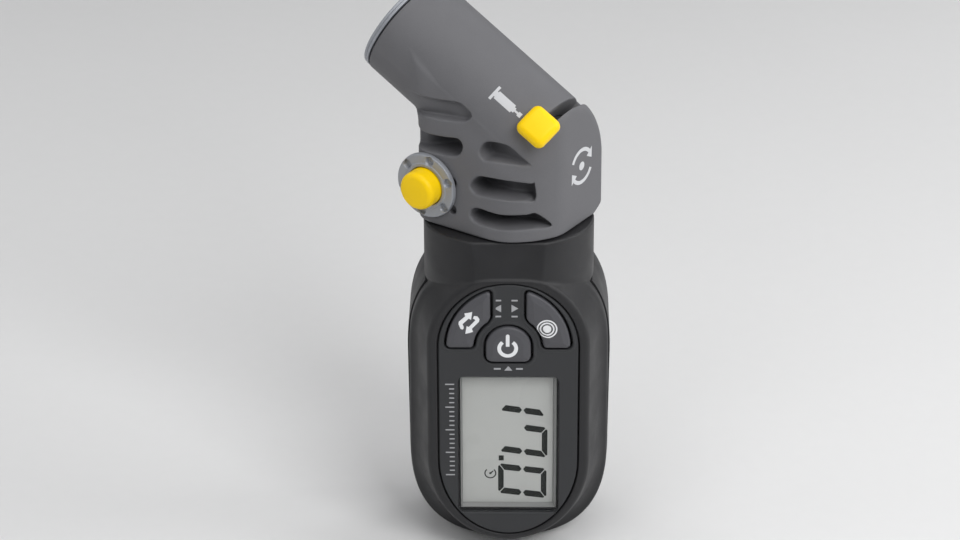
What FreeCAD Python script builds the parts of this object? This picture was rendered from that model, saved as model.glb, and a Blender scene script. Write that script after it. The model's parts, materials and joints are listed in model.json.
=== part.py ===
import FreeCAD, Part
import math
import os

import Sketcher

from FreeCAD import Placement, Rotation, Vector

# Digital tire pressure gauge: a swivelling elbow head with a valve socket, and an upright pod with
# a liquid crystal display, three keys and a coin cell.
# Device directions: X to the right, Y to the back (the display faces -Y), Z up. z = 0 is the joint
# plane between the head and the neck of the pod, and the swivel axis is the line x = y = 0.
# Everything is placed so that the mouth of the valve socket ends up at the origin.

doc = FreeCAD.newDocument("tire_gauge")
sheet = doc.addObject("Spreadsheet::Sheet", "Dims")

ROWS = [
    # head: elbow of an inclined barrel on an upright base
    ("head_yaw", 33.7, "turn of the head about the swivel axis, degrees"),
    ("barrel_tilt", 29.0, "barrel above the horizontal, degrees"),
    ("elbow_height", 21.04, "height of the barrel axis over the swivel axis"),
    ("barrel_rad", 10.55, "barrel outer radius"),
    ("mouth_dist", 27.7, "elbow centre to the socket mouth"),
    ("shell_end", 26.15, "elbow centre to the end of the moulded barrel"),
    ("cap_bore", 4.15, "valve socket radius"),
    ("cap_spigot", 8.2, "end cap spigot radius"),
    ("cap_inner", 21.0, "elbow centre to the inner end of the cap spigot"),
    ("socket_rad", 8.25, "barrel counterbore radius"),
    ("socket_floor", 13.0, "elbow centre to the counterbore floor"),
    ("core_rad", 6.2, "barrel through bore radius"),
    ("core_back", 10.25, "elbow centre to the closed back end of the bore"),
    ("gallery_rad", 3.4, "plunger gallery radius"),
    ("base_side", 11.5, "half width of the head base"),
    ("base_back", 13.45, "swivel axis to the flat back facet"),
    ("base_front", 15.0, "swivel axis to the front end of the base"),
    ("base_low", 0.3, "underside of the head above the joint plane"),
    ("corner_big", 15.69, "radius of the curved wall between the near side and the back facet"),
    ("corner_small", 1.0, "rounding between the far side and the back facet"),
    ("far_side", 12.1, "half width of the far back corner"),
    ("corner_front", 5.0, "rounding of the two front corners"),
    ("groove_high", 3.9, "height of the upper side grooves"),
    ("groove_deep", 5.4, "depth of a deep side groove"),
    # selector
    ("tab_dist", 8.5, "elbow centre back to the selector slot"),
    ("tab_angle", 49.0, "selector tab above the near side, degrees"),
    ("tab_side", 6.4, "selector tab width and length"),
    ("tab_low", 11.05, "barrel axis to the underside of the tab"),
    ("tab_top", 13.3, "barrel axis to the top of the tab"),
    ("slot_wide", 1.8, "selector slot width"),
    ("stem_wide", 1.6, "selector stem thickness"),
    # release valve
    ("rel_u", 10.4, "release valve axis ahead of the swivel axis"),
    ("rel_z", 8.45, "release valve axis height"),
    ("rel_flange", 6.4, "release flange radius"),
    ("rel_body", 4.4, "release housing thread radius"),
    ("rel_button", 3.72, "release button radius"),
    ("rel_travel", 2.0, "release button travel"),
    # pump inlet on the far side
    ("inlet_z", 9.0, "pump inlet axis height"),
    ("inlet_rad", 3.85, "pump inlet stem radius"),
    ("inlet_len", 9.5, "pump inlet stem length"),
    # swivel
    ("spigot_rad", 5.0, "swivel spigot radius"),
    ("boss_bore", 5.05, "swivel boss bore radius"),
    ("boss_rad", 8.2, "swivel boss outer radius"),
    ("boss_low", 13.5, "joint plane to the foot of the swivel boss"),
    # pod
    ("neck_a", 16.15, "neck half width"),
    ("neck_b", 14.6, "neck half depth of the oval at its foot"),
    ("neck_b_top", 12.7, "neck half depth of the oval at the joint plane"),
    ("neck_front", 13.2, "swivel axis to the flat front of the neck at its foot"),
    ("neck_front_top", 11.45, "swivel axis to the flat front of the neck at the joint plane"),
    ("neck_rear", 12.4, "swivel axis to the flat rear of the neck"),
    ("pod_half", 19.1, "pod half width"),
    ("pod_front", 13.5, "swivel axis to the raised rim of the face"),
    ("pod_rear", 14.3, "swivel axis to the back of the pod"),
    ("split_y", 3.4, "swivel axis to the joint between the two shells"),
    ("wall_thick", 1.9, "shell wall"),
    ("island_half", 15.23, "half width of the raised face"),
    ("panel_half", 13.32, "half width of the face panel"),
    ("panel_top_z", 21.3, "joint plane to the centre of the panel's top arc"),
    ("panel_top_b", 13.5, "height of the panel's top arc"),
    ("panel_bot_z", 46.0, "joint plane to the centre of the panel's bottom arc"),
    ("panel_bot_b", 16.5, "height of the panel's bottom arc"),
    ("panel_thick", 1.2, "face panel thickness"),
    ("pod_bot_z", 46.0, "joint plane to the centre of the pod's bottom arc"),
    ("pod_bot_b", 22.0, "height of the pod's bottom arc"),
    ("lcd_wide", 19.2, "display window width"),
    ("lcd_high", 30.0, "display window height"),
    ("lcd_z", 42.66, "joint plane to the display window centre"),
    ("key_travel", 0.5, "key travel"),
    ("board_y", 8.0, "swivel axis to the front of the main board"),
    ("cell_rad", 10.0, "coin cell radius"),
    ("cell_thick", 3.2, "coin cell thickness"),
    ("cell_z", 44.0, "joint plane to the coin cell centre"),
    ("door_rad", 12.4, "battery door radius"),
]
for row, (alias, value, note) in enumerate(ROWS, 1):
    sheet.set("A%d" % row, alias)
    sheet.set("B%d" % row, str(value))
    sheet.set("C%d" % row, note)
    sheet.setAlias("B%d" % row, alias)
doc.recompute()


class Dim:
    """A number together with the expression that gives it from the sheet."""

    def __init__(self, value, text):
        self.value = float(value)
        self.text = text

    @staticmethod
    def of(other):
        return other if isinstance(other, Dim) else Dim(other, "(%.6g)" % float(other))

    def _with(self, other, sign, value):
        return Dim(value, "(%s %s %s)" % (self.text, sign, Dim.of(other).text))

    def __add__(self, other):
        return self._with(other, "+", self.value + Dim.of(other).value)

    def __sub__(self, other):
        return self._with(other, "-", self.value - Dim.of(other).value)

    def __mul__(self, other):
        return self._with(other, "*", self.value * Dim.of(other).value)

    def __radd__(self, other):
        return Dim.of(other) + self

    def __rsub__(self, other):
        return Dim.of(other) - self

    def __rmul__(self, other):
        return Dim.of(other) * self

    def __neg__(self):
        return Dim(-self.value, "(0 - %s)" % self.text)

    def __float__(self):
        return self.value


q = {alias: Dim(float(sheet.get(alias)), "Dims." + alias) for alias, _, _ in ROWS}
v = {alias: q[alias].value for alias in q}

YAW = math.radians(v["head_yaw"])
TILT = math.radians(v["barrel_tilt"])
U = Vector(-math.cos(YAW), math.sin(YAW), 0)
W = Vector(-math.sin(YAW), -math.cos(YAW), 0)
ALONG = U * math.cos(TILT) + Vector(0, 0, math.sin(TILT))
MOUTH = Vector(0, 0, v["elbow_height"]) + ALONG * v["mouth_dist"]

# frames: the pod, the head (X along the barrel's heading, Y to the near side), the barrel (Z out of
# the socket), the release valve (Z out of the near side) and the pump inlet (Z out of the far side)
POD = Placement(-1 * MOUTH, Rotation())
HEAD = POD.multiply(Placement(Vector(), Rotation(Vector(0, 0, 1), 180 - v["head_yaw"])))
BARREL = HEAD.multiply(Placement(Vector(0, 0, v["elbow_height"]), Rotation(Vector(0, 1, 0), 90 - v["barrel_tilt"])))
RELEASE = HEAD.multiply(Placement(Vector(v["rel_u"], v["base_side"], v["rel_z"]), Rotation(Vector(1, 0, 0), -90)))
INLET = HEAD.multiply(Placement(Vector(0, -v["base_side"], v["inlet_z"]), Rotation(Vector(1, 0, 0), 90)))

NODES = []


def bind(obj, prop, size):
    """Set a size and tie it to the sheet."""
    size = Dim.of(size)
    setattr(obj, prop, size.value)
    if "Dims." in size.text:
        obj.setExpression(prop, size.text)


def put(obj, x, y, z, rotation=None):
    """Place a construction object, its position tied to the sheet."""
    at = [Dim.of(c) for c in (x, y, z)]
    obj.Placement = Placement(Vector(*[c.value for c in at]), rotation or Rotation())
    for axis, c in zip("xyz", at):
        if "Dims." in c.text:
            obj.setExpression(".Placement.Base." + axis, c.text)
    return obj


TURN = {"z": Rotation(), "-z": Rotation(Vector(1, 0, 0), 180), "y": Rotation(Vector(1, 0, 0), -90), "-y": Rotation(Vector(1, 0, 0), 90), "x": Rotation(Vector(0, 1, 0), 90), "-x": Rotation(Vector(0, 1, 0), -90)}


def cyl(name, radius, height, x=0, y=0, z=0, axis="z", angle=360):
    obj = doc.addObject("Part::Cylinder", name)
    bind(obj, "Radius", radius)
    bind(obj, "Height", height)
    obj.Angle = angle
    return put(obj, x, y, z, TURN[axis])


def box(name, x0, x1, y0, y1, z0, z1):
    obj = doc.addObject("Part::Box", name)
    x0, x1, y0, y1, z0, z1 = [Dim.of(c) for c in (x0, x1, y0, y1, z0, z1)]
    bind(obj, "Length", x1 - x0)
    bind(obj, "Width", y1 - y0)
    bind(obj, "Height", z1 - z0)
    return put(obj, x0, y0, z0)


def torus(name, major, minor, x=0, y=0, z=0, axis="z"):
    obj = doc.addObject("Part::Torus", name)
    bind(obj, "Radius1", major)
    bind(obj, "Radius2", minor)
    return put(obj, x, y, z, TURN[axis])


def fuse(name, *objs):
    if len(objs) == 1:
        return objs[0]
    obj = doc.addObject("Part::MultiFuse", name)
    obj.Shapes = list(objs)
    return obj


def cut(name, base, *tools):
    obj = doc.addObject("Part::Cut", name)
    obj.Base = base
    obj.Tool = fuse(name + "_tools", *tools)
    return obj


def common(name, a, b):
    obj = doc.addObject("Part::Common", name)
    obj.Base = a
    obj.Tool = b
    return obj


def group(name, *objs):
    """Several separate solids of one kind as one compound."""
    obj = doc.addObject("Part::Compound", name)
    obj.Links = list(objs)
    return obj


def keep(obj, label, frame):
    """Name a finished piece and put it in its frame."""
    obj.Label = label
    obj.Placement = frame.multiply(obj.Placement)
    NODES.append((label, obj))
    return obj


def shaped(label, shape, frame):
    """A finished piece whose shape is made directly."""
    obj = doc.addObject("Part::Feature", label + "_shape")
    obj.Shape = shape.removeSplitter() if shape.ShapeType != "Compound" else shape
    obj.Placement = frame
    obj.Label = label
    NODES.append((label, obj))
    return obj


def plane_of(body, role):
    return [f for f in body.Origin.OriginFeatures if f.Role == role][0]


def turned(label, points, frame, angle=360):
    """A body turned about its own Z axis: points are (radius, height) round the half section."""
    body = doc.addObject("PartDesign::Body", label + "_body")
    sketch = body.newObject("Sketcher::SketchObject", label + "_profile")
    sketch.AttachmentSupport = [(plane_of(body, "XZ_Plane"), "")]
    sketch.MapMode = "FlatFace"
    pts = [(Dim.of(a), Dim.of(b)) for a, b in points]
    n = len(pts)
    for i in range(n):
        a, b = pts[i], pts[(i + 1) % n]
        sketch.addGeometry(Part.LineSegment(Vector(a[0].value, a[1].value, 0), Vector(b[0].value, b[1].value, 0)), False)
    for i in range(n):
        sketch.addConstraint(Sketcher.Constraint("Coincident", i, 2, (i + 1) % n, 1))
    for i, (a, b) in enumerate(pts):
        for kind, size in (("DistanceX", a), ("DistanceY", b)):
            if abs(size.value) < 1e-9:
                # a corner on an axis is held there by the axis itself
                sketch.addConstraint(Sketcher.Constraint("PointOnObject", i, 1, -2 if kind == "DistanceX" else -1))
                continue
            c = sketch.addConstraint(Sketcher.Constraint(kind, -1, 1, i, 1, size.value))
            if "Dims." in size.text:
                sketch.setExpression("Constraints[%d]" % c, size.text)
    turn = body.newObject("PartDesign::Revolution", label + "_turn")
    turn.Profile = sketch
    turn.ReferenceAxis = (sketch, ["V_Axis"])
    turn.Angle = angle
    body.Tip = turn
    if frame is not None:
        body.Placement = frame
        body.Label = label
        NODES.append((label, body))
    return body


def plate(label, outline_points, depth, frame, axis_role="XY_Plane", radii=(), reverse=False):
    """A padded polygon with rounded corners; radii is a list of (corner index, radius)."""
    body = doc.addObject("PartDesign::Body", label + "_body")
    sketch = body.newObject("Sketcher::SketchObject", label + "_outline")
    sketch.AttachmentSupport = [(plane_of(body, axis_role), "")]
    sketch.MapMode = "FlatFace"
    pts = [(Dim.of(a), Dim.of(b)) for a, b in outline_points]
    n = len(pts)
    for i in range(n):
        a, b = pts[i], pts[(i + 1) % n]
        sketch.addGeometry(Part.LineSegment(Vector(a[0].value, a[1].value, 0), Vector(b[0].value, b[1].value, 0)), False)
    for i in range(n):
        sketch.addConstraint(Sketcher.Constraint("Coincident", i, 2, (i + 1) % n, 1))
    for i, (a, b) in enumerate(pts):
        for kind, size in (("DistanceX", a), ("DistanceY", b)):
            if abs(size.value) < 1e-9:
                sketch.addConstraint(Sketcher.Constraint("PointOnObject", i, 1, -2 if kind == "DistanceX" else -1))
                continue
            c = sketch.addConstraint(Sketcher.Constraint(kind, -1, 1, i, 1, size.value))
            if "Dims." in size.text:
                sketch.setExpression("Constraints[%d]" % c, size.text)
    pad = body.newObject("PartDesign::Pad", label + "_pad")
    pad.Profile = sketch
    bind(pad, "Length", depth)
    pad.Reversed = reverse
    body.Tip = pad
    doc.recompute()
    last = pad
    for k, (corner, radius) in enumerate(radii):
        radius = Dim.of(radius)
        cx, cy = pts[corner][0].value, pts[corner][1].value
        best = None
        for e_no, edge in enumerate(last.Shape.Edges, 1):
            a, b = edge.Vertexes[0].Point, edge.Vertexes[-1].Point
            local = [(p.x, p.y) if axis_role == "XY_Plane" else (p.x, p.z) for p in (a, b)]
            if all(abs(p[0] - cx) < 1e-4 and abs(p[1] - cy) < 1e-4 for p in local):
                best = "Edge%d" % e_no
        rounding = body.newObject("PartDesign::Fillet", label + "_round%d" % k)
        rounding.Base = (last, [best])
        bind(rounding, "Radius", radius)
        body.Tip = rounding
        doc.recompute()
        last = rounding
    if frame is not None:
        body.Placement = frame
        body.Label = label
        NODES.append((label, body))
    return body


def arc_points(a, b, zc, n, top, count=25):
    """Points of a half superellipse in the XZ plane, from left to right over the top or right to left under the bottom."""
    pts = []
    for i in range(count):
        f = math.pi * (1 - i / (count - 1.0)) if top else -math.pi * i / (count - 1.0)
        c, s = math.cos(f), math.sin(f)
        x = math.copysign(abs(c) ** (2.0 / n), c) * a if abs(c) > 1e-12 else 0.0
        z = math.copysign(abs(s) ** (2.0 / n), s) * b if abs(s) > 1e-12 else 0.0
        pts.append((x, zc + z))
    return pts


def loop(a_top, z_top, b_top, n_top, a_bot, z_bot, b_bot, n_bot, y):
    """Closed outline at depth y: a rounded top, two sides and a rounded bottom."""
    def curve(pts):
        c = Part.BSplineCurve()
        c.interpolate([Vector(x, y, z) for x, z in pts])
        return c.toShape()

    top = arc_points(a_top, b_top, z_top, n_top, True)
    bot = arc_points(a_bot, b_bot, z_bot, n_bot, False)
    right = Part.LineSegment(Vector(top[-1][0], y, top[-1][1]), Vector(bot[0][0], y, bot[0][1])).toShape()
    left = Part.LineSegment(Vector(bot[-1][0], y, bot[-1][1]), Vector(top[0][0], y, top[0][1])).toShape()
    return Part.Wire([curve(top), right, curve(bot), left])


def slab(wire, y0, y1):
    """The outline swept from y0 to y1."""
    w = wire.copy()
    w.translate(Vector(0, y0 - w.BoundBox.YMin, 0))
    return Part.Face(w).extrude(Vector(0, y1 - y0, 0))


def oval(a, b, z0, z1):
    """Upright oval column."""
    e = Part.Ellipse(Vector(a, 0, z0), Vector(0, b, z0), Vector(0, 0, z0)) if a > b else Part.Ellipse(Vector(0, b, z0), Vector(a, 0, z0), Vector(0, 0, z0))
    return Part.Face(Part.Wire(e.toShape())).extrude(Vector(0, 0, z1 - z0))


def solid_box(x0, x1, y0, y1, z0, z1):
    return Part.makeBox(x1 - x0, y1 - y0, z1 - z0, Vector(x0, y0, z0))


def solid_cyl(r, h, at, direction):
    return Part.makeCylinder(r, h, Vector(*at), Vector(*direction))


def rounded(x0, x1, y0, y1, z0, z1, r):
    """A block standing along Y with rounded upright corners."""
    b = solid_box(x0, x1, y0, y1, z0, z1)
    edges = [e for e in b.Edges if abs(e.Vertexes[0].Point.x - e.Vertexes[-1].Point.x) < 1e-6 and abs(e.Vertexes[0].Point.z - e.Vertexes[-1].Point.z) < 1e-6]
    return b.makeFillet(r, edges)


def soften(shape, radius, edges):
    """Round the given edges, or leave them as they are if the rounding does not come out whole."""
    if not edges:
        return shape
    try:
        done = shape.makeFillet(radius, edges)
    except Exception:
        return shape
    if done.isNull() or not done.isValid() or done.Volume < 0.5 * shape.Volume:
        return shape
    return done


def coil(name, mean, wire, low, high, turns):
    """A closed compression spring about Z, as a round wire swept along a helix."""
    helix = doc.addObject("Part::Helix", name + "_path")
    bind(helix, "Radius", mean)
    helix.Pitch = (high - low - 2 * wire) / turns
    helix.Height = high - low - 2 * wire
    helix.Placement = Placement(Vector(0, 0, low + wire), Rotation())
    ring = doc.addObject("Part::Circle", name + "_wire")
    ring.Radius = wire
    ring.Placement = Placement(Vector(Dim.of(mean).value, 0, low + wire), Rotation(Vector(1, 0, 0), 90))
    sweep = doc.addObject("Part::Sweep", name + "_coil")
    sweep.Sections = [ring]
    sweep.Spine = (helix, [])
    sweep.Solid = True
    sweep.Frenet = True
    return sweep


# ------------------------------------------------------------------ head
# base: a block with one wide corner, cut off along the barrel, with the barrel fused through it
base_block = plate(
    "head_base",
    [(-q["base_back"], -q["base_side"]), (q["base_front"], -q["base_side"]), (q["base_front"], q["base_side"]), (-q["base_back"], q["base_side"])],
    32.0,
    None,
    radii=[(1, q["corner_front"]), (2, q["corner_front"])],
)
base_block.Placement = Placement(Vector(0, 0, v["base_low"]), Rotation())
barrel_turn = Rotation(Vector(0, 1, 0), 90 - v["barrel_tilt"])
lid = doc.addObject("Part::Box", "head_base_lid")
lid.Length, lid.Width, lid.Height = 30, 60, 120
lid.Placement = Placement(Vector(0, 0, v["elbow_height"]), barrel_turn).multiply(Placement(Vector(-32.4, -30, -60), Rotation()))
slants = []
for side in (1, -1):
    slant = doc.addObject("Part::Box", "head_slant_near" if side > 0 else "head_slant_far")
    slant.Length, slant.Width, slant.Height = 60, 20, 120
    edge = Placement(Vector(-30, v["barrel_rad"] if side > 0 else -v["barrel_rad"] - 20, -60), Rotation())
    slant.Placement = Placement(Vector(0, 0, v["elbow_height"]), barrel_turn).multiply(Placement(Vector(), Rotation(Vector(0, 0, 1), side * 14.3))).multiply(edge)
    slants.append(slant)
near_trim = cut("head_near_trim", box("head_near_block", -60, -1.5, 1.9, 30, -40, 60), cyl("head_near_wall", q["corner_big"], 120, 1.357, -3.243, -50))
base_low_part = cut("head_base_cut", base_block, lid, near_trim, *slants)
barrel_back = doc.addObject("Part::Cylinder", "barrel_tube")
bind(barrel_back, "Radius", q["barrel_rad"])
bind(barrel_back, "Height", q["shell_end"] + 24)
barrel_back.Placement = Placement(Vector(0, 0, v["elbow_height"]), barrel_turn).multiply(Placement(Vector(0, 0, -24), Rotation()))
back_trim = box("head_back_trim", -60, -q["base_back"], -30, 30, -40, 60)
barrel_trim = cut("barrel_trimmed", barrel_back, back_trim, near_trim)
# the far back corner bulges out past the barrel
far_block = plate(
    "far_corner_block",
    [(-q["base_back"], -q["far_side"]), (-7.5, -q["far_side"]), (-7.5, -3.0), (-q["base_back"], -3.0)],
    30.0,
    None,
    radii=[(0, q["corner_small"])],
)
far_block.Placement = Placement(Vector(0, 0, v["base_low"]), Rotation())
far_dome = doc.addObject("Part::Cylinder", "far_corner_dome")
bind(far_dome, "Radius", q["far_side"])
far_dome.Height = 60
far_dome.Placement = Placement(Vector(0, 0, v["elbow_height"]), barrel_turn).multiply(Placement(Vector(1.6, 0, -45), Rotation()))
far_low = doc.addObject("Part::Box", "far_corner_low")
far_low.Length, far_low.Width, far_low.Height = 40, 40, 60
far_low.Placement = Placement(Vector(0, 0, v["elbow_height"]), barrel_turn).multiply(Placement(Vector(1.6, -20, -45), Rotation()))
far_limit = fuse("far_corner_limit", far_dome, far_low)
far_corner = doc.addObject("Part::MultiCommon", "far_corner")
far_corner.Shapes = [far_block, far_limit]
release_boss = cyl("release_boss", q["rel_body"] + 1.1, 7.0, q["rel_u"], q["base_side"] - 7.0, q["rel_z"], "y")
outer = fuse("head_outer", base_low_part, barrel_trim, release_boss, far_corner)


def barrel_tool(name, radius, t0, t1):
    obj = doc.addObject("Part::Cylinder", name)
    bind(obj, "Radius", radius)
    bind(obj, "Height", Dim.of(t1) - t0)
    obj.Placement = Placement(Vector(0, 0, v["elbow_height"]), barrel_turn).multiply(Placement(Vector(0, 0, Dim.of(t0).value), Rotation()))
    return obj


socket = barrel_tool("socket_bore", q["socket_rad"], q["socket_floor"], q["shell_end"] + 5)
core = barrel_tool("core_bore", q["core_rad"], -q["core_back"], q["socket_floor"] + 1)
# selector slot: a sector over the top between the two tab positions, with room for the stem at each end
slot_turn = Placement(Vector(0, 0, v["elbow_height"]), barrel_turn)
sector = doc.addObject("Part::Cylinder", "slot_sector")
sector.Radius = 16
bind(sector, "Height", q["slot_wide"])
sector.Angle = 180 - 2 * v["tab_angle"]
sector.Placement = slot_turn.multiply(Placement(Vector(0, 0, -v["tab_dist"] - v["slot_wide"] / 2), Rotation(Vector(0, 0, 1), 90 + v["tab_angle"])))
slot_ends = []
for k, turn in enumerate((90 + v["tab_angle"], 270 - v["tab_angle"])):
    end = doc.addObject("Part::Box", "slot_end%d" % k)
    end.Length, end.Width = 16, 3.4
    bind(end, "Height", q["slot_wide"])
    end.Placement = slot_turn.multiply(Placement(Vector(0, 0, 0), Rotation(Vector(0, 0, 1), turn))).multiply(Placement(Vector(0, -1.7, -v["tab_dist"] - v["slot_wide"] / 2), Rotation()))
    slot_ends.append(end)
release_bore = cyl("release_bore", q["rel_body"] + 0.05, 9, q["rel_u"], q["base_side"] - 6.8, q["rel_z"], "y")
release_chamber = cyl("release_chamber", 2.6, 14, q["rel_u"], q["base_side"] - 12.4, q["rel_z"], "y")
inlet_bore = cyl("inlet_bore", 4.05, 9, 0, -q["base_side"] + 5.6, q["inlet_z"], "-y")
spigot_bore = cyl("spigot_bore", q["spigot_rad"] + 0.02, 10, 0, 0, -0.9)
air_riser = cyl("air_riser", 0.9, 10, 0, 0, 6)
air_cross = cyl("air_cross", 0.8, 9.4, 0, 0, 10.1, "x")
air_inlet = cyl("air_inlet", 0.8, 9.0, 0, 0.4, 10.1, "-y")


def groove(name, x_round, x_far, z_round, rise, depth, high):
    """A side groove: round at one end, running out at the other, leaning by rise degrees."""
    length = abs(x_far - x_round)
    sign = 1 if x_far > x_round else -1
    bar = doc.addObject("Part::Box", name + "_bar")
    bar.Length, bar.Width = length, 12
    bind(bar, "Height", high)
    bar.Placement = Placement(Vector(0 if sign > 0 else -length, 0, -Dim.of(high).value / 2), Rotation())
    nose = doc.addObject("Part::Cylinder", name + "_nose")
    bind(nose, "Radius", high * 0.5)
    nose.Height = 12
    nose.Placement = Placement(Vector(0, 0, 0), Rotation(Vector(1, 0, 0), -90))
    both = fuse(name, bar, nose)
    both.Placement = Placement(Vector(x_round, v["base_side"] - depth, z_round), Rotation(Vector(0, 1, 0), -rise if sign > 0 else rise))
    return both


grooves = []
for side in (1, -1):
    tag = "near" if side > 0 else "far"
    items = [
        groove("groove_r3_" + tag, -0.45, -24, 4.6, 0.0, v["groove_deep"], Dim.of(3.3)),
        groove("groove_r2_" + tag, -0.95, -24, 11.15, -2.0, v["groove_deep"], Dim.of(4.2)),
        groove("groove_r1_" + tag, -2.8, -24, 18.4, 0.0, 2.4, q["groove_high"]),
        groove("groove_l2_" + tag, 4.55, 24, 17.1, 0.0, 4.9, q["groove_high"]),
        groove("groove_l1_" + tag, 3.3, 24, 24.2, 0.0, 2.4, q["groove_high"]),
    ]
    if side < 0:
        items = items[3:]
        mirrored = []
        for k, item in enumerate(items):
            m = doc.addObject("Part::Mirroring", "groove_far%d" % k)
            m.Source = item
            m.Normal = Vector(0, 1, 0)
            m.Base = Vector(0, 0, 0)
            mirrored.append(m)
        items = mirrored
    grooves += items

head_shell = cut("head_shell_cut", outer, socket, core, sector, slot_ends[0], slot_ends[1], release_bore, release_chamber, inlet_bore, spigot_bore, air_riser, air_cross, air_inlet, *grooves)
keep(head_shell, "head_shell", HEAD)

# valve socket, from the mouth inwards
turned(
    "end_cap",
    [
        (q["cap_bore"], q["cap_inner"]),
        (q["cap_spigot"], q["cap_inner"]),
        (q["cap_spigot"], q["shell_end"] + 0.35),
        (q["barrel_rad"] - 0.03, q["shell_end"] + 0.35),
        (q["barrel_rad"] - 0.03, q["mouth_dist"] - 0.72),
        (q["barrel_rad"] - 0.18, q["mouth_dist"] - 0.62),
        (q["barrel_rad"] - 0.03, q["mouth_dist"] - 0.52),
        (q["barrel_rad"] - 0.03, q["mouth_dist"] - 0.25),
        (q["barrel_rad"] - 0.28, q["mouth_dist"]),
        (q["cap_bore"], q["mouth_dist"]),
    ],
    BARREL,
)
turned("cap_seal", [(q["socket_rad"] + 0.02, q["shell_end"] + 0.01), (9.55, q["shell_end"] + 0.01), (9.55, q["shell_end"] + 0.34), (q["socket_rad"] + 0.02, q["shell_end"] + 0.34)], BARREL)
turned(
    "valve_gasket",
    [(q["cap_bore"] + 0.05, 14.2), (8.1, 14.2), (8.1, 20.9), (5.2, 20.9), (q["cap_bore"] + 0.05, 20.1)],
    BARREL,
)
valve_core_body = turned(
    "valve_core_plain",
    [(q["gallery_rad"], -1.5), (1.62, -1.5), (1.62, -4.4), (q["core_rad"] - 0.04, -4.4), (q["core_rad"] - 0.04, 13.02), (8.1, 13.02), (8.1, 14.15), (q["gallery_rad"], 14.15)],
    None,
)
core_port = cyl("core_port", 0.9, 8, 0, 0, 0)
# the air riser is upright in the head, so in the barrel's frame it leans by the tilt
core_port.Placement = Placement(Vector(0, 0, v["elbow_height"]), barrel_turn).inverse().multiply(Placement(Vector(0, 0, 12.5), Rotation()))
keep(cut("valve_core_cut", valve_core_body, core_port), "valve_core_body", BARREL)
guide_plain = turned("pin_guide_plain", [(1.62, 12.4), (q["gallery_rad"] - 0.02, 12.4), (q["gallery_rad"] - 0.02, 14.1), (1.62, 14.1)], None)
guide_holes = [cyl("guide_hole%d" % k, 0.45, 4, 2.5 * math.cos(math.radians(a)), 2.5 * math.sin(math.radians(a)), 11) for k, a in enumerate((0, 120, 240))]
keep(cut("pin_guide_cut", guide_plain, *guide_holes), "pin_guide", BARREL)
turned(
    "depressor_pin",
    [(0, -2.1), (1.5, -2.1), (1.5, 8.4), (3.2, 8.4), (3.2, 9.5), (1.56, 9.5), (1.56, 17.0), (1.1, 17.6), (0, 17.6)],
    BARREL,
)
keep(coil("depressor_spring", 2.45, 0.3, -1.4, 8.3, 7), "depressor_spring", BARREL)

# selector: drum in the back of the bore, with the thumb tab outside on a flat stem
drum_plain = turned(
    "selector_drum_plain",
    [(0, -10.15), (q["core_rad"] - 0.06, -10.15), (q["core_rad"] - 0.06, -7.0), (q["core_rad"] - 1.15, -7.0), (q["core_rad"] - 1.15, -5.75), (q["core_rad"] - 0.06, -5.75), (q["core_rad"] - 0.06, -4.6), (0, -4.6)],
    None,
)
stem_pocket = doc.addObject("Part::Box", "stem_pocket")
stem_pocket.Length, stem_pocket.Width = 10, 3.24
bind(stem_pocket, "Height", q["stem_wide"] + 0.04)
stem_pocket.Placement = Placement(Vector(), Rotation(Vector(0, 0, 1), 90 + v["tab_angle"])).multiply(Placement(Vector(3.0, -1.62, -v["tab_dist"] - v["stem_wide"] / 2 - 0.02), Rotation()))
drum_port = cyl("drum_port", 1.2, 3.0, 0, 0, -7.0)
keep(cut("selector_drum_cut", drum_plain, stem_pocket, drum_port), "selector_drum", BARREL)
TAB = BARREL.multiply(Placement(Vector(0, 0, -v["tab_dist"]), Rotation(Vector(0, 0, 1), 90 + v["tab_angle"])))
# the tab: x is outward from the barrel axis, y round it, z along it
tab_block = box("tab_block", q["tab_low"], q["tab_top"] + 0.4, q["tab_side"] * -0.5, q["tab_side"] * 0.5, q["tab_side"] * -0.5, q["tab_side"] * 0.5)
crown = doc.addObject("Part::Cylinder", "tab_crown")
bind(crown, "Radius", q["tab_top"])
crown.Height = 12
crown.Placement = Placement(Vector(0, 0, -6), Rotation())
tab_cap = common("tab_cap", tab_block, crown)
doc.recompute()
tab_round = doc.addObject("Part::Fillet", "tab_round")
tab_round.Base = tab_cap
picked = []
for n_edge, e in enumerate(tab_cap.Shape.Edges, 1):
    a, b = e.Vertexes[0].Point, e.Vertexes[-1].Point
    if min(a.x, b.x) > v["tab_low"] + 0.5:
        picked.append((n_edge, 0.55, 0.55))
    elif abs(a.y - b.y) < 1e-6 and abs(a.z - b.z) < 1e-6:
        picked.append((n_edge, 1.1, 1.1))
tab_round.Edges = picked
stem = box("tab_stem", 3.1, q["tab_low"] + 0.3, -1.6, 1.6, q["stem_wide"] * -0.5, q["stem_wide"] * 0.5)
keep(fuse("selector_tab_whole", tab_round, stem), "selector_tab", TAB)
keep(torus("selector_oring_ring", q["core_rad"] - 0.62, 0.52, 0, 0, -6.38), "selector_oring", BARREL)

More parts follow.
